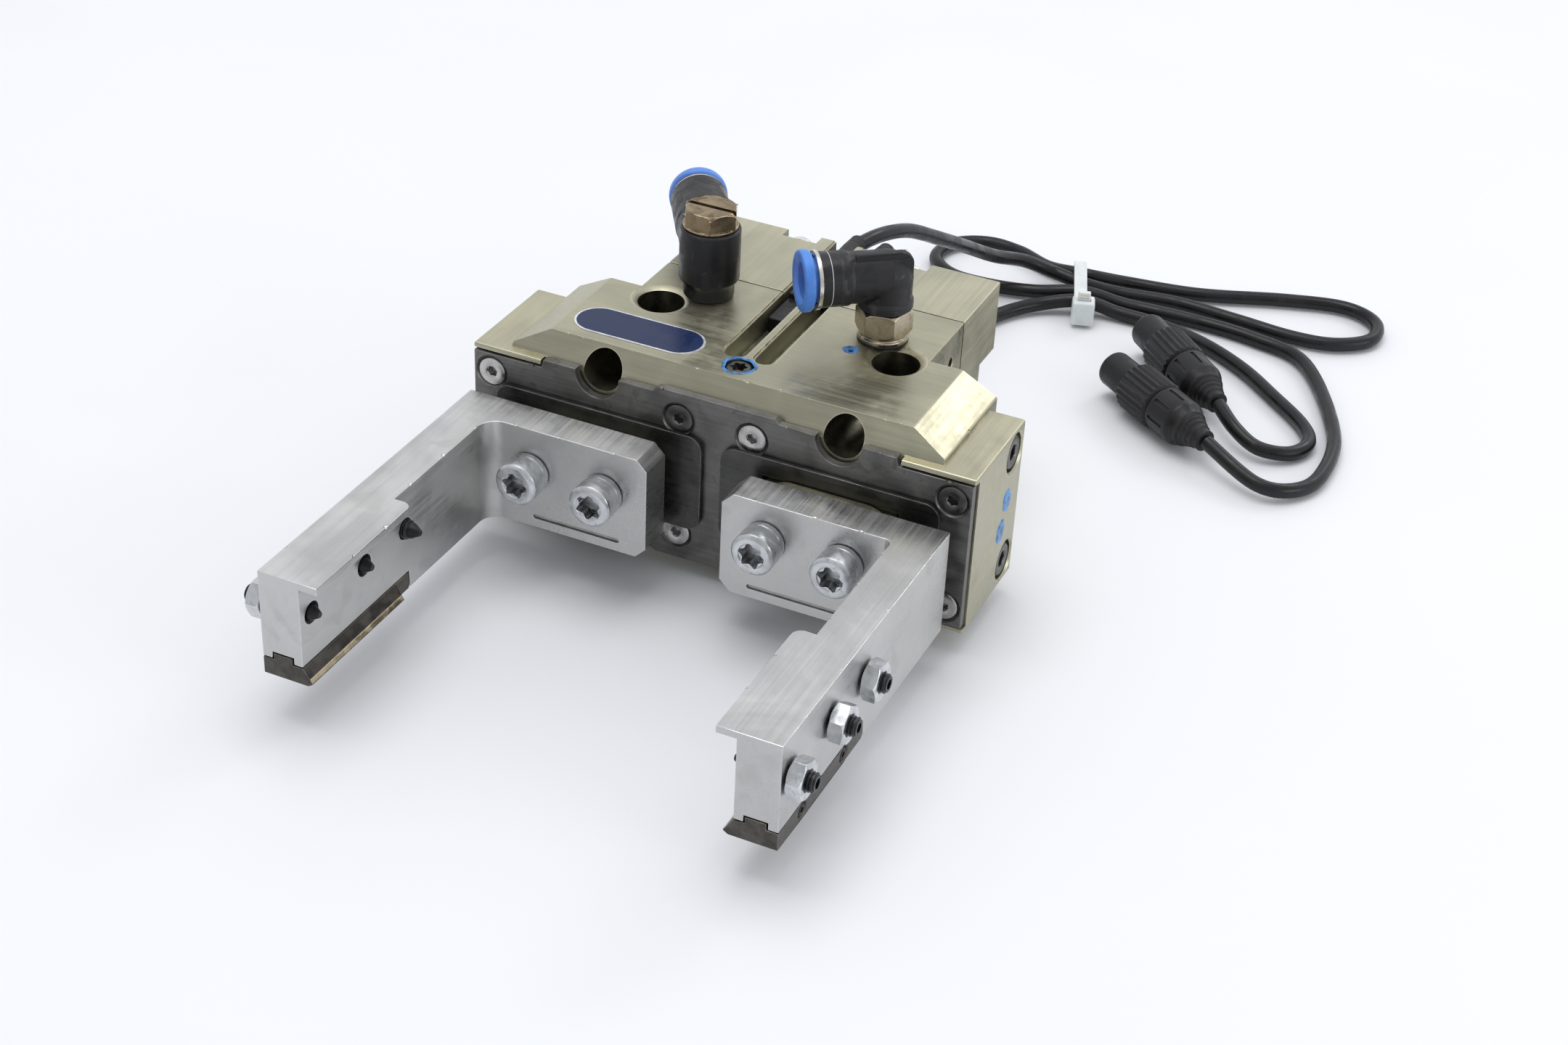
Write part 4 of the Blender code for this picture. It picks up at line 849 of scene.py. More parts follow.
def build_fixed_screws():
    count = 0
    for side in (-1, 1):
        for x, z in COVER_SCREWS:
            count += 1
            screw = turned([(0, 0.5), (2.22, 0.5), (2.35, 0.4), (2.35, 0.25), (1.25, -0.85),
                    (1.25, -6.6), (0, -6.6)], (side * x, 2.45, z), '-Y', 40)
            cut(screw, hexagon((side * x, 2.15, z), 1.6, 1.7, 'Y', rng.uniform(0, 1)))
            drill(screw, [(0, 0.9), (1.15, 0.9), (0.85, 0.3), (0, 0.3)], (side * x, 2.45, z), '-Y')
            done(screw, "cover_screw_head_" + str(count), DULL_STEEL
                if count in DULL_COVER_SCREWS else STEEL, ["cover_screw_" + str(count)], 0.04, 1)
    for side in (-1, 1):
        axis = OUTWARD[side]
        for z, level in zip(END_SCREW_Z, ("upper", "lower")):
            screw = turned([(0, 1.3), (2.5, 1.3), (2.75, 1.05), (2.75, -1.3), (1.5, -1.3),
                    (1.5, -6.6), (0, -6.6)], (side * 40.95, END_SCREW_Y, z), axis, 40)
            cut(screw, hexagon((side * 41.8, END_SCREW_Y, z), 2.5, 2.6, 'X', rng.uniform(0, 1)))
            drill(screw, [(0, 1.6), (1.7, 1.6), (1.4, 1.1), (0, 1.1)],
                (side * 40.95, END_SCREW_Y, z), axis, 28)
            done(screw, "end_bolt_" + WORDS[side] + "_" + level, DULL_STEEL,
                ["end_screw_" + WORDS[side] + "_" + level], 0.05, 1)
        for number, (y, z) in enumerate(END_PLUGS, 1):
            blob = turned([(0, -0.05), (0.6, 0.1), (1.2, 0.16), (1.62, 0.1), (1.8, 0.02),
                    (1.8, -0.1), (1.05, -0.3), (1.05, -1.6), (0, -1.6)], (side * WING_HALF, y, z),
                axis, 32)
            uneven(blob, ((0.1, 2, number), (0.06, 5, 0)))
            done(blob, "end_seal_" + WORDS[side] + "_" + str(number), LACQUER)
    plug = turned([(0, 34.82), (1.75, 34.82), (2.15, 34.5), (2.15, 32.3), (0, 32.3)],
        (0, SEAL_PLUG_Y, 0), 'Z', 40)
    cut(plug, lobed(1.4, 1.9, (0, SEAL_PLUG_Y, 34.6), 'Z', 0.3))
    done(plug, "sealing_plug_head", DULL_STEEL, ["sealing_plug"], 0.05, 1)
    lacquer = turned(ring_section(2.52, 0.3, 0.17), (0, SEAL_PLUG_Y, 34.93), 'Z', 48, True)
    uneven(lacquer, ((0.045, 3, 0.6), (0.03, 7, 0)))
    done(lacquer, "plug_lacquer", LACQUER)
    blob = turned([(0, -0.25), (0.7, -0.2), (1.1, -0.02), (1.38, -0.05), (1.38, -0.22),
            (1.1, -0.5), (1.1, -2), (0, -2)], (*SMALL_PLUG, BODY_TOP), 'Z', 28)
    cut(blob, rod((*SMALL_PLUG, 34.7), 0.45, 1.4, 'Z', 16))
    done(blob, "small_plug_lacquer", LACQUER)
    for side in (-1, 1):
        screw = turned([(0, 1.2), (0.8, 1.16), (1.4, 1.05), (1.9, 0.86), (2.3, 0.55), (2.6, 0.1),
                (2.7, -0.4), (2.7, -1.1), (1.5, -1.1), (1.5, -22.6), (0, -22.6)],
            (side * 10, 54.9, 32.2), 'Y', 40)
        cut(screw, lobed(1.35, 2.2, (side * 10, 55.9, 32.2), 'Y', 0.2 * side))
        done(screw, "rear_screw_head_" + WORDS[side], PALE_SCREW, ["rear_screw_" + WORDS[side]],
            0.05, 1)


def build_label():
    base = soften(prism(stadium(-29.4, -7.3, 8.1, 16.1, 4, 20), 34.94, 35.09, 'XY'), 0.05, 1)
    done(base, "label_edge", FOIL)
    face = soften(prism(stadium(-29.05, -7.65, 8.45, 15.75, 3.65, 20), 34.98, 35.15, 'XY'), 0.05,
        2)
    done(face, "label_face", NAVY)


def build_sensors():
    for word, x0, x1, front, rise, clamp in (("left", -3.95, -0.95, 28.5, 36, -2.45),
            ("right", 1.3, 3.8, 38, 41, 2.55)):
        sensor = box(x0, x1, front, 55, 30.9, 33.6, 0.3, 3)
        join(sensor, box(x0 + 0.15, x1 - 0.15, rise, 51, 33, 34.6, 0.3, 3))
        drill(sensor, hole(1.5, 1.3, 1.2, 1, 0.05, 0.2), (clamp, 53.2, 33.6))
        cut(sensor, box(x0 + 0.5, x1 - 0.5, rise + 1.2, rise + 2, 34.3, 35))
        done(sensor, "sensor_case_" + word, MOULDED, ["sensor_" + word], 0.08, 2)
        screw = turned([(0, 0.1), (0.95, 0.1), (1.15, -0.1), (1.15, -1.1), (0, -1.1)],
            (clamp, 53.2, 33.6), 'Z', 28)
        cut(screw, box(clamp - 1.4, clamp + 1.4, 53, 53.4, 33.3, 34.2, 0, 1, 0.6))
        done(screw, "sensor_clamp_" + word, PALE_SCREW, (), 0.04, 1)
        window = box((x0 + x1) / 2 - 0.55, (x0 + x1) / 2 + 0.55, rise + 3.2, rise + 5, 34.35,
            34.68, 0.2, 3)
        done(window, "sensor_lamp_" + word, NYLON)


# ---------------------------------------------------------------- jaws, fingers and their screws
def wedge_flank(y, extra):
    return 10 - 0.8 * (y - 4.5) + extra


def build_jaw(side):
    body, word = JAWS[side], WORDS[side]
    slide = [(wedge_flank(3.9, 0.45), 3.9), (33, 3.9), (33, 13.9), (wedge_flank(13.9, 0.45), 13.9)]
    jaw = prism(mirrored(side, slide), 10.3, 24.7, 'XY')
    join(jaw, box(side * 9.4, side * 30.6, 0.1, 5, 12.9, 22.1))
    boss = prism(mirrored(side, stadium(8.4, 31.6, 11.9, 23.1, 5.59, 16)), -1.7, 0.5, 'XZ')
    join(jaw, eased(boss, 0.3))
    bake(jaw)
    for near, far, z0, z1 in ((-1, 2.6, 15.8, 19.2), (1.1, 3.2, 14.3, 20.7)):
        way = [(wedge_flank(y, gap), y) for y, gap in ((2, near), (2, far), (16, far), (16, near))]
        cut(jaw, prism(mirrored(side, way), z0, z1, 'XY'))
    done(jaw, "jaw_boss_" + word, ANODISED_JAW_LIFTED, ["base_jaw_" + word], body=body)

    rim = mirrored(side, stadium(1.6, 37.7, 9.1, 25.9, 2.5, 10))
    cover = prism(rim, 0.8, 1.55, 'XZ')
    cut(cover, box(side * 8.7, side * 31.3, 0, 2.4, 12.2, 22.8))
    done(cover, "jaw_shield_" + word, COVER, ["jaw_cover_" + word], 0.16, 2, False, body=body)


def build_finger(side):
    body, word, low = JAWS[side], WORDS[side], FINGER_Z[side]
    top = low + FINGER_H
    r = FILLET[side]
    corner = arc(FINGER_IN - r, BLOCK_FRONT - r, r, 0, 90, 10)
    ell = [(6.3, FINGER_BACK), (6.3, BLOCK_FRONT)] + list(reversed(corner))
    ell += [(FINGER_IN, FINGER_TIP), (FINGER_OUT, FINGER_TIP), (FINGER_OUT, FINGER_BACK)]
    finger = prism(mirrored(side, ell), low, top, 'XY')
    lip = [(34.4, FINGER_TIP), (34.4, -34.8), (32.4, -34.8)]
    lip += [(30.8 + 1.6 * (1 - sin(radians(a))), -36.4 + 1.6 * cos(radians(a)))
        for a in (15, 30, 45, 60, 75, 90)]
    lip.append((30.8, FINGER_TIP))
    join(finger, prism(mirrored(side, lip), top - 1.2, top, 'XY'))
    for z, sign in ((low, 1), (top, -1)):
        tri = [(5.3, z - 1 * sign), (5.3, z + 2.8 * sign), (9.1, z - 1 * sign)]
        cut(finger, prism(mirrored(side, tri), -9.5, -1, 'XZ'))
    bake(finger)
    cut(finger, box(side * 30, side * 42, -61, -31.7, low - 1, low + 3))
    cut(finger, box(side * 35.4, side * 39, -61, -31.7, low + 2, low + 4.1))
    cut(finger, prism(mirrored(side, stadium(11, 26, low + 1.62, low + 2.28, 0.32, 6)),
            BLOCK_FRONT - 1, BLOCK_FRONT + 0.5, 'XZ'))
    for x in FINGER_SCREWS:
        cut(finger, rod((side * x, -5, FINGER_SCREW_Z), 2.3, 10, 'Y', 28))
    pin_z = low + 10.8
    for y in PIN_Y:
        cut(finger, rod((side * 37, y, pin_z), 1.7, 10, 'X', 24))
    bake(finger)
    spots = [(side * 33.9, y, top) for y in (-12, -21, -30.5)]
    spots += [(side * 40.6, y, top) for y in (-9, -25, -41, -53)]
    spots += [(side * 30.8, y, top) for y in (-42, -50.5)]
    spots += [(side * x, BLOCK_FRONT, top) for x in (12, 21.5, 29)]
    chipped(finger, spots, 0.2)
    done(finger, "finger_arm_" + word, MILLED, ["finger_" + word], 0.16, 2, False, body=body)

    pts = [(33.9, low + 2.85), (35.6, low + 2.85), (35.6, low + 3.9), (38.8, low + 3.9),
        (38.8, low + 2.85), (40.6, low + 2.85), (40.6, low), (33.2, low), (32.4, low + 0.5)]
    insert = prism(mirrored(side, pts), -60, -32, 'XZ')
    cut(insert, box(side * 30, side * 33.9, -35.6, -31, low - 1, low + 5))
    for y in INSERT_SCREW_Y:
        drill(insert, hole(1.5, 1.2, 1.5), (side * FINGER_OUT, y, low + 1.45), OUTWARD[side])
    done(insert, "insert_bar_" + word, TOOL, ["tip_insert_" + word], 0.1, 2, False, body=body)
    blade = prism(mirrored(side, [(32.42, low + 0.62), (32.86, low + 1.27), (33.3, low + 1.1),
                (33, low + 0.45)]), -59.9, -35.7, 'XZ')
    done(blade, "insert_edge_" + word, GROUND, (), 0.05, 1, body=body)
    for number, y in enumerate(INSERT_SCREW_Y, 1):
        head = turned([(0, -0.05), (0.7, -0.05), (1.05, -0.25), (1.05, -1.4), (0, -1.4)],
            (side * 40.6, y, low + 1.45), OUTWARD[side], 28)
        cut(head, hexagon((side * 40.4, y, low + 1.45), 0.9, 0.9, 'X'))
        done(head, "insert_screw_" + word + "_" + str(number), BLACK_OXIDE, (), 0.04, 1, body=body)


def thread_profile(r_out, r_in, start, end, pitch):
    """Outside of a threaded shank from start down to end, as ridges."""
    out = []
    z = start
    while z > end + pitch * 0.5:
        out += [(r_in, z), (r_out, z - pitch * 0.25), (r_out, z - pitch * 0.45),
            (r_in, z - pitch * 0.75)]
        z -= pitch
    out.append((r_in, end))
    return out


def build_finger_screws(side):
    body, word = JAWS[side], WORDS[side]
    for x, spot in zip(FINGER_SCREWS, ("inner", "outer")):
        profile = [(0, 3.7), (2.75, 3.7), (3.2, 3.5), (3.48, 3.15), (3.5, 2.9), (3.5, 0.25),
            (3.35, 0.1), (2, 0.1), (2, -12.9), (0, -12.9)]
        screw = turned(profile, (side * x, -9.5, FINGER_SCREW_Z), '-Y', 64)
        spin = rng.uniform(0, 1)
        cut(screw, lobed(2.15, 4.6, (side * x, -13.2, FINGER_SCREW_Z), 'Y', spin))
        drill(screw, [(0, 4.2), (2.5, 4.2), (2, 3.45), (0, 3.45)],
            (side * x, -9.5, FINGER_SCREW_Z), '-Y', 48)
        done(screw, "cap_screw_" + word + "_" + spot, ZINC, ["finger_screw_" + word + "_" + spot],
            0.05, 2, body=body)
        washer = turned([(3.25, 0.62), (3.35, 0.55), (3.35, -0.5), (3.25, -0.58), (2.1, -0.58),
                (2.1, 0.62)], (side * x, -8.98, FINGER_SCREW_Z), '-Y', 64, True)
        gap = spin * 3 + 2.2
        cut(washer, box(side * x + 2.6 * cos(gap) - 0.9, side * x + 2.6 * cos(gap) + 0.9, -10.2,
                -8, FINGER_SCREW_Z + 2.6 * sin(gap) - 0.14, FINGER_SCREW_Z + 2.6 * sin(gap)
                + 0.14))
        done(washer, "lock_washer_" + word + "_" + spot, ZINC, (), 0.06, 1, body=body)


def build_pins(side):
    body, word, low = JAWS[side], WORDS[side], FINGER_Z[side]
    pin_z = low + 10.8
    for number, y in enumerate(PIN_Y, 1):
        near, longer = (-1.2, 0.9) if number == 1 else (0, 0)
        profile = [(0, 5.9 + longer), (1.2, 5.9 + longer)]
        profile += thread_profile(1.5, 1.25, 5.7 + longer, -4.4, 0.5)
        profile += [(1.2, -4.8), (0.45, -6.1), (0, -6.1)]
        screw = turned(profile, (side * (38.6 + near), y, pin_z), OUTWARD[side], 28)
        cut(screw, hexagon((side * (44.1 + near + longer), y, pin_z), 1.5, 2.8, 'X',
                rng.uniform(0, 1)))
        done(screw, "pin_screw_" + word + "_" + str(number), BLACK_OXIDE,
            ["set_screw_" + word + "_" + str(number)], body=body)
        spin = radians(30) + rng.uniform(-0.4, 0.4)
        nut = hexagon((side * 42.1, y, pin_z), 5.5, 2.4, 'X', spin)
        faces = ((OUTWARD[side], (side * 43.3, y, pin_z)), (INWARD[side], (side * 40.9, y, pin_z)))
        for flip, spot in faces:
            drill(nut, [(4.2, 1), (2.2, 1), (2.2, 0.12), (2.62, 0.02), (3.3, -0.42), (4.2, -0.42)],
                spot, flip, 40, True)
        bake(nut)
        cut(nut, rod((side * 42.1, y, pin_z), 1.62, 5, 'X', 28))
        for flip, spot in faces:
            drill(nut, [(0, 0.5), (2.1, 0.5), (1.55, -0.35), (0, -0.35)], spot, flip)
        done(nut, "hex_nut_" + word + "_" + str(number), ZINC,
            ["jam_nut_" + word + "_" + str(number)], 0.05, 1, body=body)


build_plate()
build_fixed_screws()
build_label()
build_sensors()
for hand in (-1, 1):
    build_jaw(hand)
    build_finger(hand)
    build_finger_screws(hand)
    build_pins(hand)


# ---------------------------------------------------------------- elbow fitting
def release_ring(port, distance, angle, z, name, body, node):
    release = [(4.62, 1.9), (4.82, 1.72), (4.85, 1.5), (4.85, 0.62), (4.75, 0.45), (4.5, 0.2),
        (3.55, 0.2), (3.55, -3), (3, -3), (3, 1.35), (3.35, 1.72), (3.55, 1.9)]
    ring = turned(release, heading(port, distance, angle, z), along(angle), 64, True)
    bake(ring)
    notch = bake(box(-0.45, 0.45, -0.35, 0.35, 0.9, 2.4))
    spin = Matrix.Rotation(radians(40), 4, 'Z')
    cut(ring, placed_like(notch, spin @ Matrix.Translation((4.85 * MM, 0, 1.65 * MM)), ring))
    done(ring, name, BLUE, [node], 0.05, 1, body=body)


def build_elbow():
    bx, by = PORT_B
    stem = turned([(0, 43.2), (2.2, 43.2), (2.2, 40.5), (3.55, 40.5), (3.75, 40.3), (3.75, 36.15),
            (4.05, 35.95), (4.05, 35.45), (3.85, 35.3), (2.15, 35.3), (2.15, 29.5), (0, 29.5)],
        (bx, by, 0), 'Z', 48)
    hexa = hexagon((bx, by, 38.7), 8, 4, 'Z', radians(-46.7 + 30))
    for z0, z1, z2 in ((40.75, 40.15, 41.5), (36.65, 37.25, 35.9)):
        drill(hexa, [(6, z2), (6, z1), (4.65, z1), (4.05, z0), (4.05, z2)]
            if z2 > z1 else [(6, z1), (6, z2), (4.05, z2), (4.05, z0), (4.65, z1)], (bx, by, 0),
            'Z', 48, True)
    bake(hexa)
    join(stem, hexa)
    done(stem, "port_stem", NICKEL, ["port_b_stem"], 0.1, 2, False)
    done(turned(ring_section(3.75, 0.32, 0.28), (bx, by, 35.24), 'Z', 48, True), "port_gasket",
        GASKET)

    elbow = turned([(0, 46), (4.1, 46), (4.1, 42.6), (4.25, 42.45), (4.4, 42.2), (4.4, 41.05),
            (4.3, 40.95), (0, 40.95)], (bx, by, 0), 'Z', 48)
    ball = bmesh.new()
    bmesh.ops.create_uvsphere(ball, u_segments=40, v_segments=24, radius=4.12 * MM)
    join(elbow, place("ball", from_bmesh("ball", ball), (bx, by, ELBOW_Z)))
    barrel = turned([(0, 11.5), (4.3, 11.5), (4.35, 11.4), (4.35, 8.15), (4.3, 8.05), (4.3, 7.9),
            (4.35, 7.8), (4.35, 6.7), (4.22, 6.35), (4.08, 6.15), (4.08, 0), (0, 0)],
        (bx, by, ELBOW_Z), along(ELBOW_DIR), 56)
    join(elbow, barrel)
    rib = [(4.8, -2)] + arc(2.7, 2.7, 2.1, 0, 90, 8)
    rib += [(-4.2, 4.8), (-4.5, 4.5), (-4.5, 2), (2, -2)]
    join(elbow, eased(prism(rib, -0.6, 0.6, 'XZ', (bx, by - Y_DATUM, ELBOW_Z),
                (0, 0, ELBOW_DIR + pi)), 0.22))
    bake(elbow)
    cut(elbow, rod((bx, by, 42.5), 2.5, 5, 'Z', 28))
    drill_level(elbow, PORT_B, 5, ELBOW_DIR, ELBOW_Z, 2, 10, 24)
    drill_level(elbow, PORT_B, 10, ELBOW_DIR, ELBOW_Z, 3.85, 5, 40)
    done(elbow, "elbow_shell", PLASTIC, ["elbow_body"], body="elbow")
    collar = [(4.58, 0.2), (4.62, 0.1), (4.62, -0.32), (4.55, -0.4), (3.9, -0.4), (3.9, 0.2)]
    done(turned(collar, heading(PORT_B, 11.55, ELBOW_DIR, ELBOW_Z), along(ELBOW_DIR), 56, True),
        "elbow_collar", COLLAR, body="elbow")
    flash = [(4.35, 0.05), (4.37, 0), (4.35, -0.05), (4.2, -0.05), (4.2, 0.05)]
    done(turned(flash, heading(PORT_B, 9.6, ELBOW_DIR, ELBOW_Z), along(ELBOW_DIR), 56, True),
        "elbow_flash_line", NYLON, body="elbow")
    release_ring(PORT_B, 12.1, ELBOW_DIR, ELBOW_Z, "elbow_button", "elbow_ring",
        "elbow_release_ring")


# ---------------------------------------------------------------- banjo fitting
def build_banjo():
    ax, ay = PORT_A
    banjo = turned([(0, 47.2), (4.55, 47.2), (4.8, 47.05), (4.9, 46.8), (4.9, 38.5), (4.75, 38.15),
            (4.1, 37.3), (4.1, 35.5), (3.95, 35.3), (0, 35.3)], (ax, ay, 0), 'Z', 56)
    join(banjo, turned([(0, 18.35), (4.6, 18.35), (4.75, 18.2), (4.75, 9.2), (4.55, 8.9),
                (4.55, 1.3), (0, 1.3)], (ax, ay, BANJO_Z), along(BANJO_DIR), 56))
    bake(banjo)
    cut(banjo, rod((ax, ay, 42), 2.5, 14, 'Z', 28))
    drill_level(banjo, PORT_A, 8, BANJO_DIR, BANJO_Z, 2, 14, 24)
    drill_level(banjo, PORT_A, 17, BANJO_DIR, BANJO_Z, 3.85, 5, 40)
    chipped(banjo, [(ax + 4.9 * cos(a), ay + 4.9 * sin(a), 47.1) for a in (-2.4, -1.5, -0.9, 0.4)],
        0.22)
    done(banjo, "banjo_shell", PLASTIC, ["banjo_body"], body="banjo")
    collar = [(4.62, 0.13), (4.68, 0.03), (4.68, -0.4), (4.3, -0.4), (3.9, -0.4), (3.9, 0.13)]
    done(turned(collar, heading(PORT_A, 18.72, BANJO_DIR, BANJO_Z), along(BANJO_DIR), 56, True),
        "banjo_collar", COLLAR, body="banjo")
    release_ring(PORT_A, 19.2, BANJO_DIR, BANJO_Z, "banjo_button", "banjo_ring",
        "banjo_release_ring")
    bolt = turned([(0, 47.9), (2.15, 47.9), (2.15, 29.5), (0, 29.5)], (ax, ay, 0), 'Z', 36)
    hexa = hexagon((ax, ay, 49), 8, 3, 'Z', radians(-66.7 + 30))
    drill(hexa, [(6, 51.5), (6, 49.95), (4.6, 49.95), (3.9, 50.55), (3.9, 51.5)], (ax, ay, 0), 'Z',
        48, True)
    bake(hexa)
    join(bolt, hexa)
    join(bolt, turned([(0, 47.7), (4.35, 47.7), (4.45, 47.6), (4.45, 47.32), (4.35, 47.22),
                (0, 47.22)], (ax, ay, 0), 'Z', 48))
    bake(bolt)
    cut(bolt, box(ax - 6, ax + 6, ay - 0.45, ay + 0.45, 49.4, 51.5))
    done(bolt, "port_bolt", BRONZE, ["port_a_bolt"], 0.12, 2, False)


# ---------------------------------------------------------------- leads, tie and plugs
CABLE_LEFT = [(-2.45, 55.4, 32.4), (-2.4, 60.2, 32.5), (-0.8, 67.1, 32.2), (0.9, 76, 29.6),
    (2.4, 87, 23.8), (3.4, 100, 16.6), (5, 112, 9.8), (8.4, 120.2, 6), (13.2, 123.2, 3.6),
    (19.4, 123, 2.8), (26.5, 125.2, 1.5), (37, 127, 1.4), (49, 126, 1.4), (60, 124.8, 1.4),
    (68, 126, 1.4), (73.6, 131, 1.4), (72.8, 138, 1.4), (66, 141.4, 1.4), (55, 138.6, 1.4),
    (40, 132.6, 1.4), (26.6, 129.8, 1.6), (18.2, 126.6, 2.8), (10.6, 128.4, 1.6), (3.4, 132, 1.4),
    (-3.6, 132.6, 1.4), (-9.4, 128.6, 1.4), (-10.2, 121.6, 1.4), (-5.2, 116.6, 1.4),
    (2.4, 115.9, 1.4), (11.6, 117.5, 1.6), (20.6, 119.6, 2.8), (29, 121, 1.6), (41, 121.8, 1.4),
    (54, 120.6, 1.4), (65.4, 115.6, 1.4), (76.4, 94, 1.4), (78.2, 79, 1.4), (75.4, 71.5, 1.6),
    (69.2, 68.9, 2.6), (58.8, 74.3, 4.7)]
CABLE_RIGHT = [(2.55, 55.4, 32.4), (2.7, 59.8, 32.2), (3, 64.2, 29.6), (3.2, 66.6, 24.6),
    (3.3, 67.8, 18.5), (3.4, 69.6, 11.5), (3.6, 73.6, 5.4), (4, 79.6, 2), (4.8, 88, 1.4),
    (6.4, 98, 1.4), (9.4, 106.4, 1.4), (14.6, 112.8, 1.8), (21.8, 116.2, 2.8), (28.6, 117.2, 1.6),
    (36, 117, 1.4), (46, 114, 1.4), (55.4, 108.4, 1.4), (63.6, 101, 1.4), (70.8, 93.8, 1.4),
    (73.4, 88.1, 1.4), (71.4, 83.1, 1.5), (66.3, 80.9, 2.3), (61.4, 83.1, 3.6), (56.8, 87.9, 4.7)]
TIE_AT = (20, 121.3)
TIE_TURN = atan2(-3.4, 1.2)


def smooth_path(points):
    """Dense points on one smooth curve through the route."""
    dense = []
    last = len(points) - 1
    for i in range(last):
        p0, p1, p2, p3 = (Vector(points[j]) for j in (max(i - 1, 0), i, i + 1, min(i + 2, last)))
        for k in range(10):
            t = k / 10
            a = 2 * p1 + (p2 - p0) * t
            b = (2 * p0 - 5 * p1 + 4 * p2 - p3) * t * t
            c = (3 * p1 - p0 - 3 * p2 + p3) * t * t * t
            dense.append((a + b + c) * 0.5)
    dense.append(Vector(points[-1]))
    return dense


def build_lead(word, route):
    path = smooth_path(route)
    curve, spline = point_curve("lead_" + word, '3D', [point(*spot) for spot in path])
    curve.bevel_depth = CABLE_R * MM
    curve.bevel_resolution = 5
    curve.use_fill_caps = True
    spline.use_smooth = True
    lead = bpy.data.objects.new("lead_" + word, curve)
    PIECES.objects.link(lead)
    curve.materials.append(SHEATH)
    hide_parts("sensor_cable_" + word)
    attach(lead, "gripper_body")
    length = sum((b - a).length for a, b in zip(path, path[1:])) * MM
    return lead, length


def build_relief(word, route):
    """Tapered rubber sleeve where a lead leaves its sensor."""
    path = smooth_path(route)[:13]
    start = path[0]
    axis = path[8] - path[0]
    quat = axis.to_track_quat('Z', 'Y').to_euler()
    profile = [(1.36, 5.6), (1.52, 5.5), (1.52, 5), (1.44, 4.85), (1.52, 4.7), (1.58, 4.2),
        (1.49, 4.05), (1.58, 3.9), (1.64, 3.3), (1.55, 3.15), (1.64, 3), (1.7, 2.2), (1.72, -0.6),
        (1.6, -0.7), (1.36, -0.7)]
    sleeve = turned(profile, (start.x, start.y + 0.7, start.z), quat, 36, True)
    done(sleeve, "strain_relief_" + word, GASKET)


def build_tie():
    cx, cy = TIE_AT
    spot, turn = (cx, cy - Y_DATUM, 0), (0, 0, TIE_TURN)
    outer = rounded([(-8.6, 0.1), (8.6, 0.1), (8.6, 5.5), (-8.6, 5.5)], 1.6, 6)
    inner = rounded([(-7.95, 0.75), (7.95, 0.75), (7.95, 4.85), (-7.95, 4.85)], 1.3, 6)
    strap = eased(prism(outer, -1.2, 1.2, 'XZ', spot, turn), 0.12)
    cut(strap, prism(inner, -3, 3, 'XZ', spot, turn))
    bake(strap)
    done(strap, "tie_strap", NYLON, ["cable_tie"])
    along_x, along_y = cos(TIE_TURN), sin(TIE_TURN)
    lx, ly = cx + 9.6 * along_x, cy + 9.6 * along_y
    nx, ny = lx + 0.6 * along_x, ly + 0.6 * along_y
    lock = box(lx - 1.8, lx + 1.8, ly - 2.1, ly + 2.1, 0.5, 5.3, 0.5, 3, TIE_TURN)
    cut(lock, box(lx - 0.7, lx + 0.7, ly - 1.3, ly + 1.3, 0, 6, 0, 1, TIE_TURN))
    done(lock, "tie_lock", NYLON, (), 0.08, 1)
    tail = box(lx - 0.5, lx + 0.5, ly - 1.15, ly + 1.15, 0.8, 6.9, 0.2, 2, TIE_TURN)
    for z in (5.6, 6.2):
        cut(tail, box(nx - 0.3, nx + 0.3, ny - 0.8, ny + 0.8, z, z + 0.3, 0, 1, TIE_TURN))
    done(tail, "tie_tail", NYLON, (), 0.04, 1)


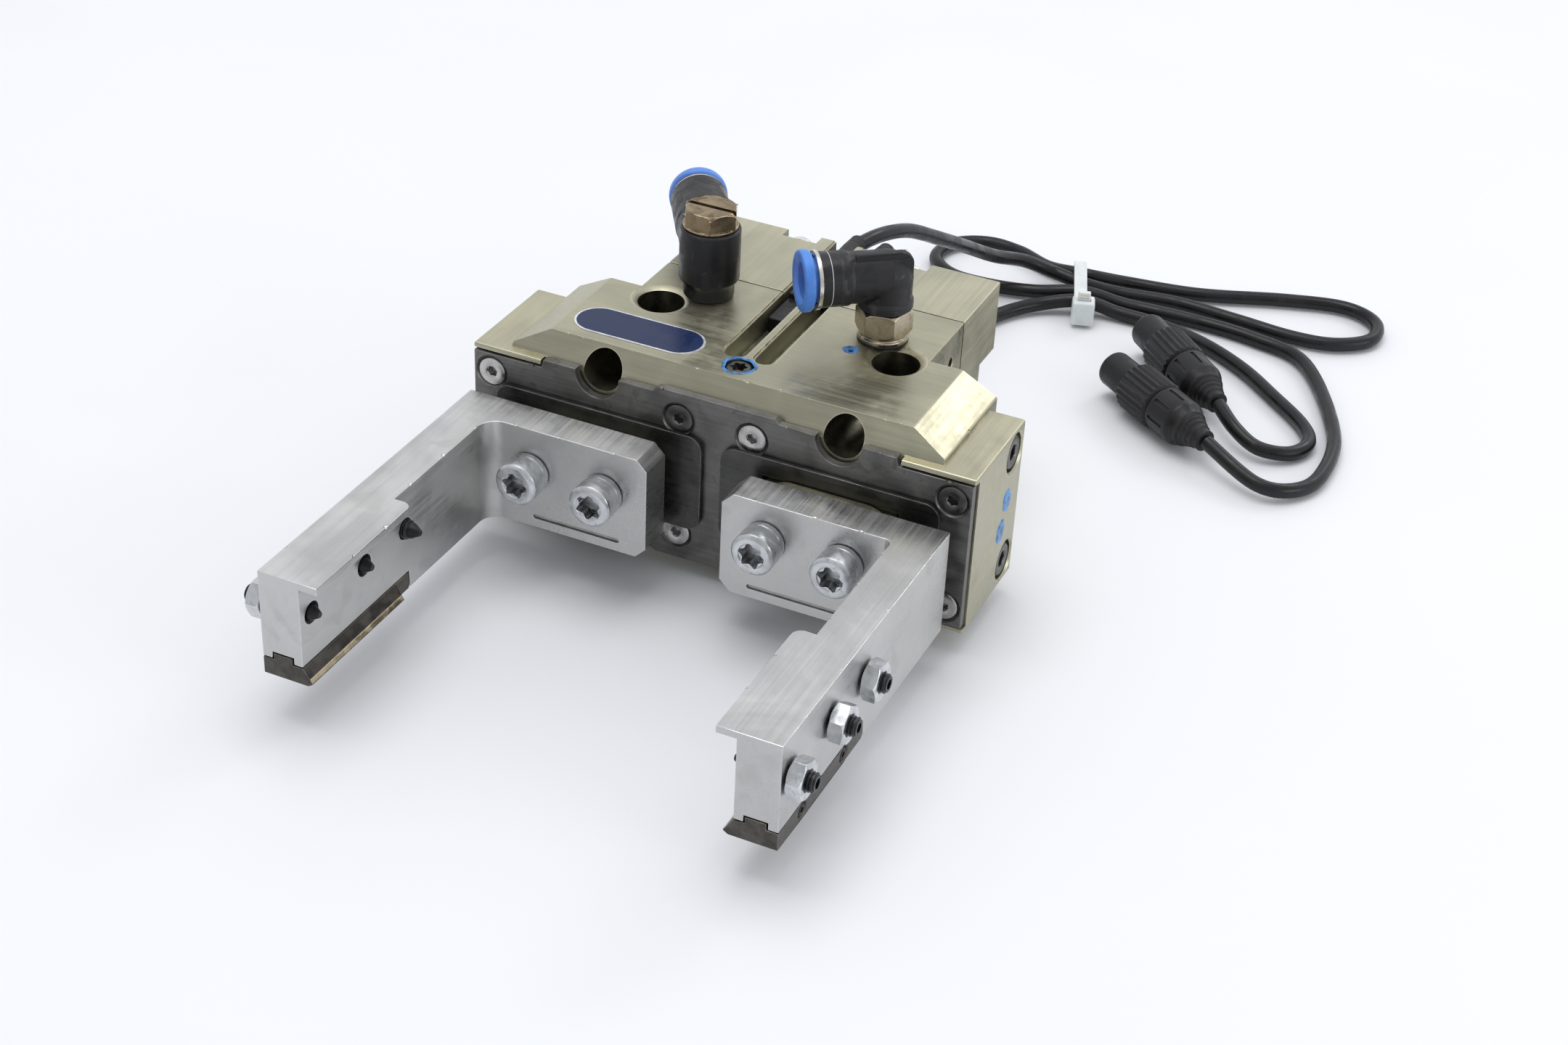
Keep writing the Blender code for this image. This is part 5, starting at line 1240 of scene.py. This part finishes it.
def build_plug(word, tail, nose, z):
    angle = atan2(nose[1] - tail[1], nose[0] - tail[0])
    centre = (tail[0], tail[1], z)
    profile = [(0, 27.9), (2.9, 27.9), (3.2, 27.6), (3.3, 27.2), (3.3, 21.6), (3, 21.3), (3, 12.2),
        (4.05, 12.1), (4.2, 11.8), (4.2, 6.6), (4.05, 6.1), (3.4, 5.1), (3.4, 4.5), (2.95, 4.2),
        (2.95, 3.6), (2.6, 3.3), (2.6, 2.7), (2.25, 2.4), (2.25, 1.6), (1.95, 1.4), (1.95, 0.1),
        (1.8, 0), (0, 0)]
    shell = turned(profile, centre, along(angle), 56)
    for k in range(8):
        flute = box(-0.35, 0.35, -0.35, 0.35, 7.2, 11.3, 0.15)
        spin = Matrix.Rotation(2 * pi * k / 8, 4, 'Z')
        cut(shell, placed_like(flute, spin @ Matrix.Translation((4.25 * MM, 0, 9.25 * MM)), shell))
    bake(shell)
    drill_level(shell, tail, 27.5, angle, z, 2.6, 5, 32)
    done(shell, "plug_body_" + word, MOULDED, ["connector_" + word])
    nut = prism(waved(1, 4.36, 0.14, 24, 96), 12.4, 20.9, 'XY', centre, along(angle))
    for z0, sign in ((12.4, -1), (20.9, 1)):
        ring = [(5.2, z0 + 0.5 * sign), (5.2, z0 - 0.7 * sign), (4.6, z0 - 0.6 * sign), (3.9, z0),
            (3.9, z0 + 0.5 * sign)]
        drill(nut, ring, centre, along(angle), 48, True)
    drill_level(nut, tail, 16.6, angle, z, 3.02, 12, 40)
    done(nut, "plug_nut_" + word, MOULDED)
    for k in range(3):
        a = 2 * pi * k / 3 + 0.5
        pin = turned([(0, 0), (0.3, -0.15), (0.42, -0.5), (0.42, -3.2), (0, -3.2)],
            heading(tail, 27.6, angle, z), along(angle), 16)
        pin.data.transform(Matrix.Translation((1.35 * MM * cos(a), 1.35 * MM * sin(a), 0)))
        done(pin, "plug_pin_%s_%d" % (word, k + 1), GILT)
    return ["plug_body_" + word, "plug_nut_" + word] + ["plug_pin_%s_%d" % (word, k)
        for k in (1, 2, 3)]


build_elbow()
build_banjo()
build_tie()
build_relief("left", CABLE_LEFT)
build_relief("right", CABLE_RIGHT)
plug_left = build_plug("left", (58.5, 74.5), (36.1, 91.3), 4.7)
plug_right = build_plug("right", (56.5, 88.2), (36.9, 108.2), 4.7)
lead, length = build_lead("left", CABLE_LEFT)
lead, length = build_lead("right", CABLE_RIGHT)

# ---------------------------------------------------------------- parts kept from the frame
for name, finish in (("piston", PISTON_ALU), ("piston_seal", GASKET),
        ("piston_magnet", BLACK_OXIDE), ("wedge_hook", STEEL), ("force_spring", STEEL)):
    slots = frame["nodes"][name].data.materials
    slots.clear()
    slots.append(finish)

bpy.context.view_layer.update()
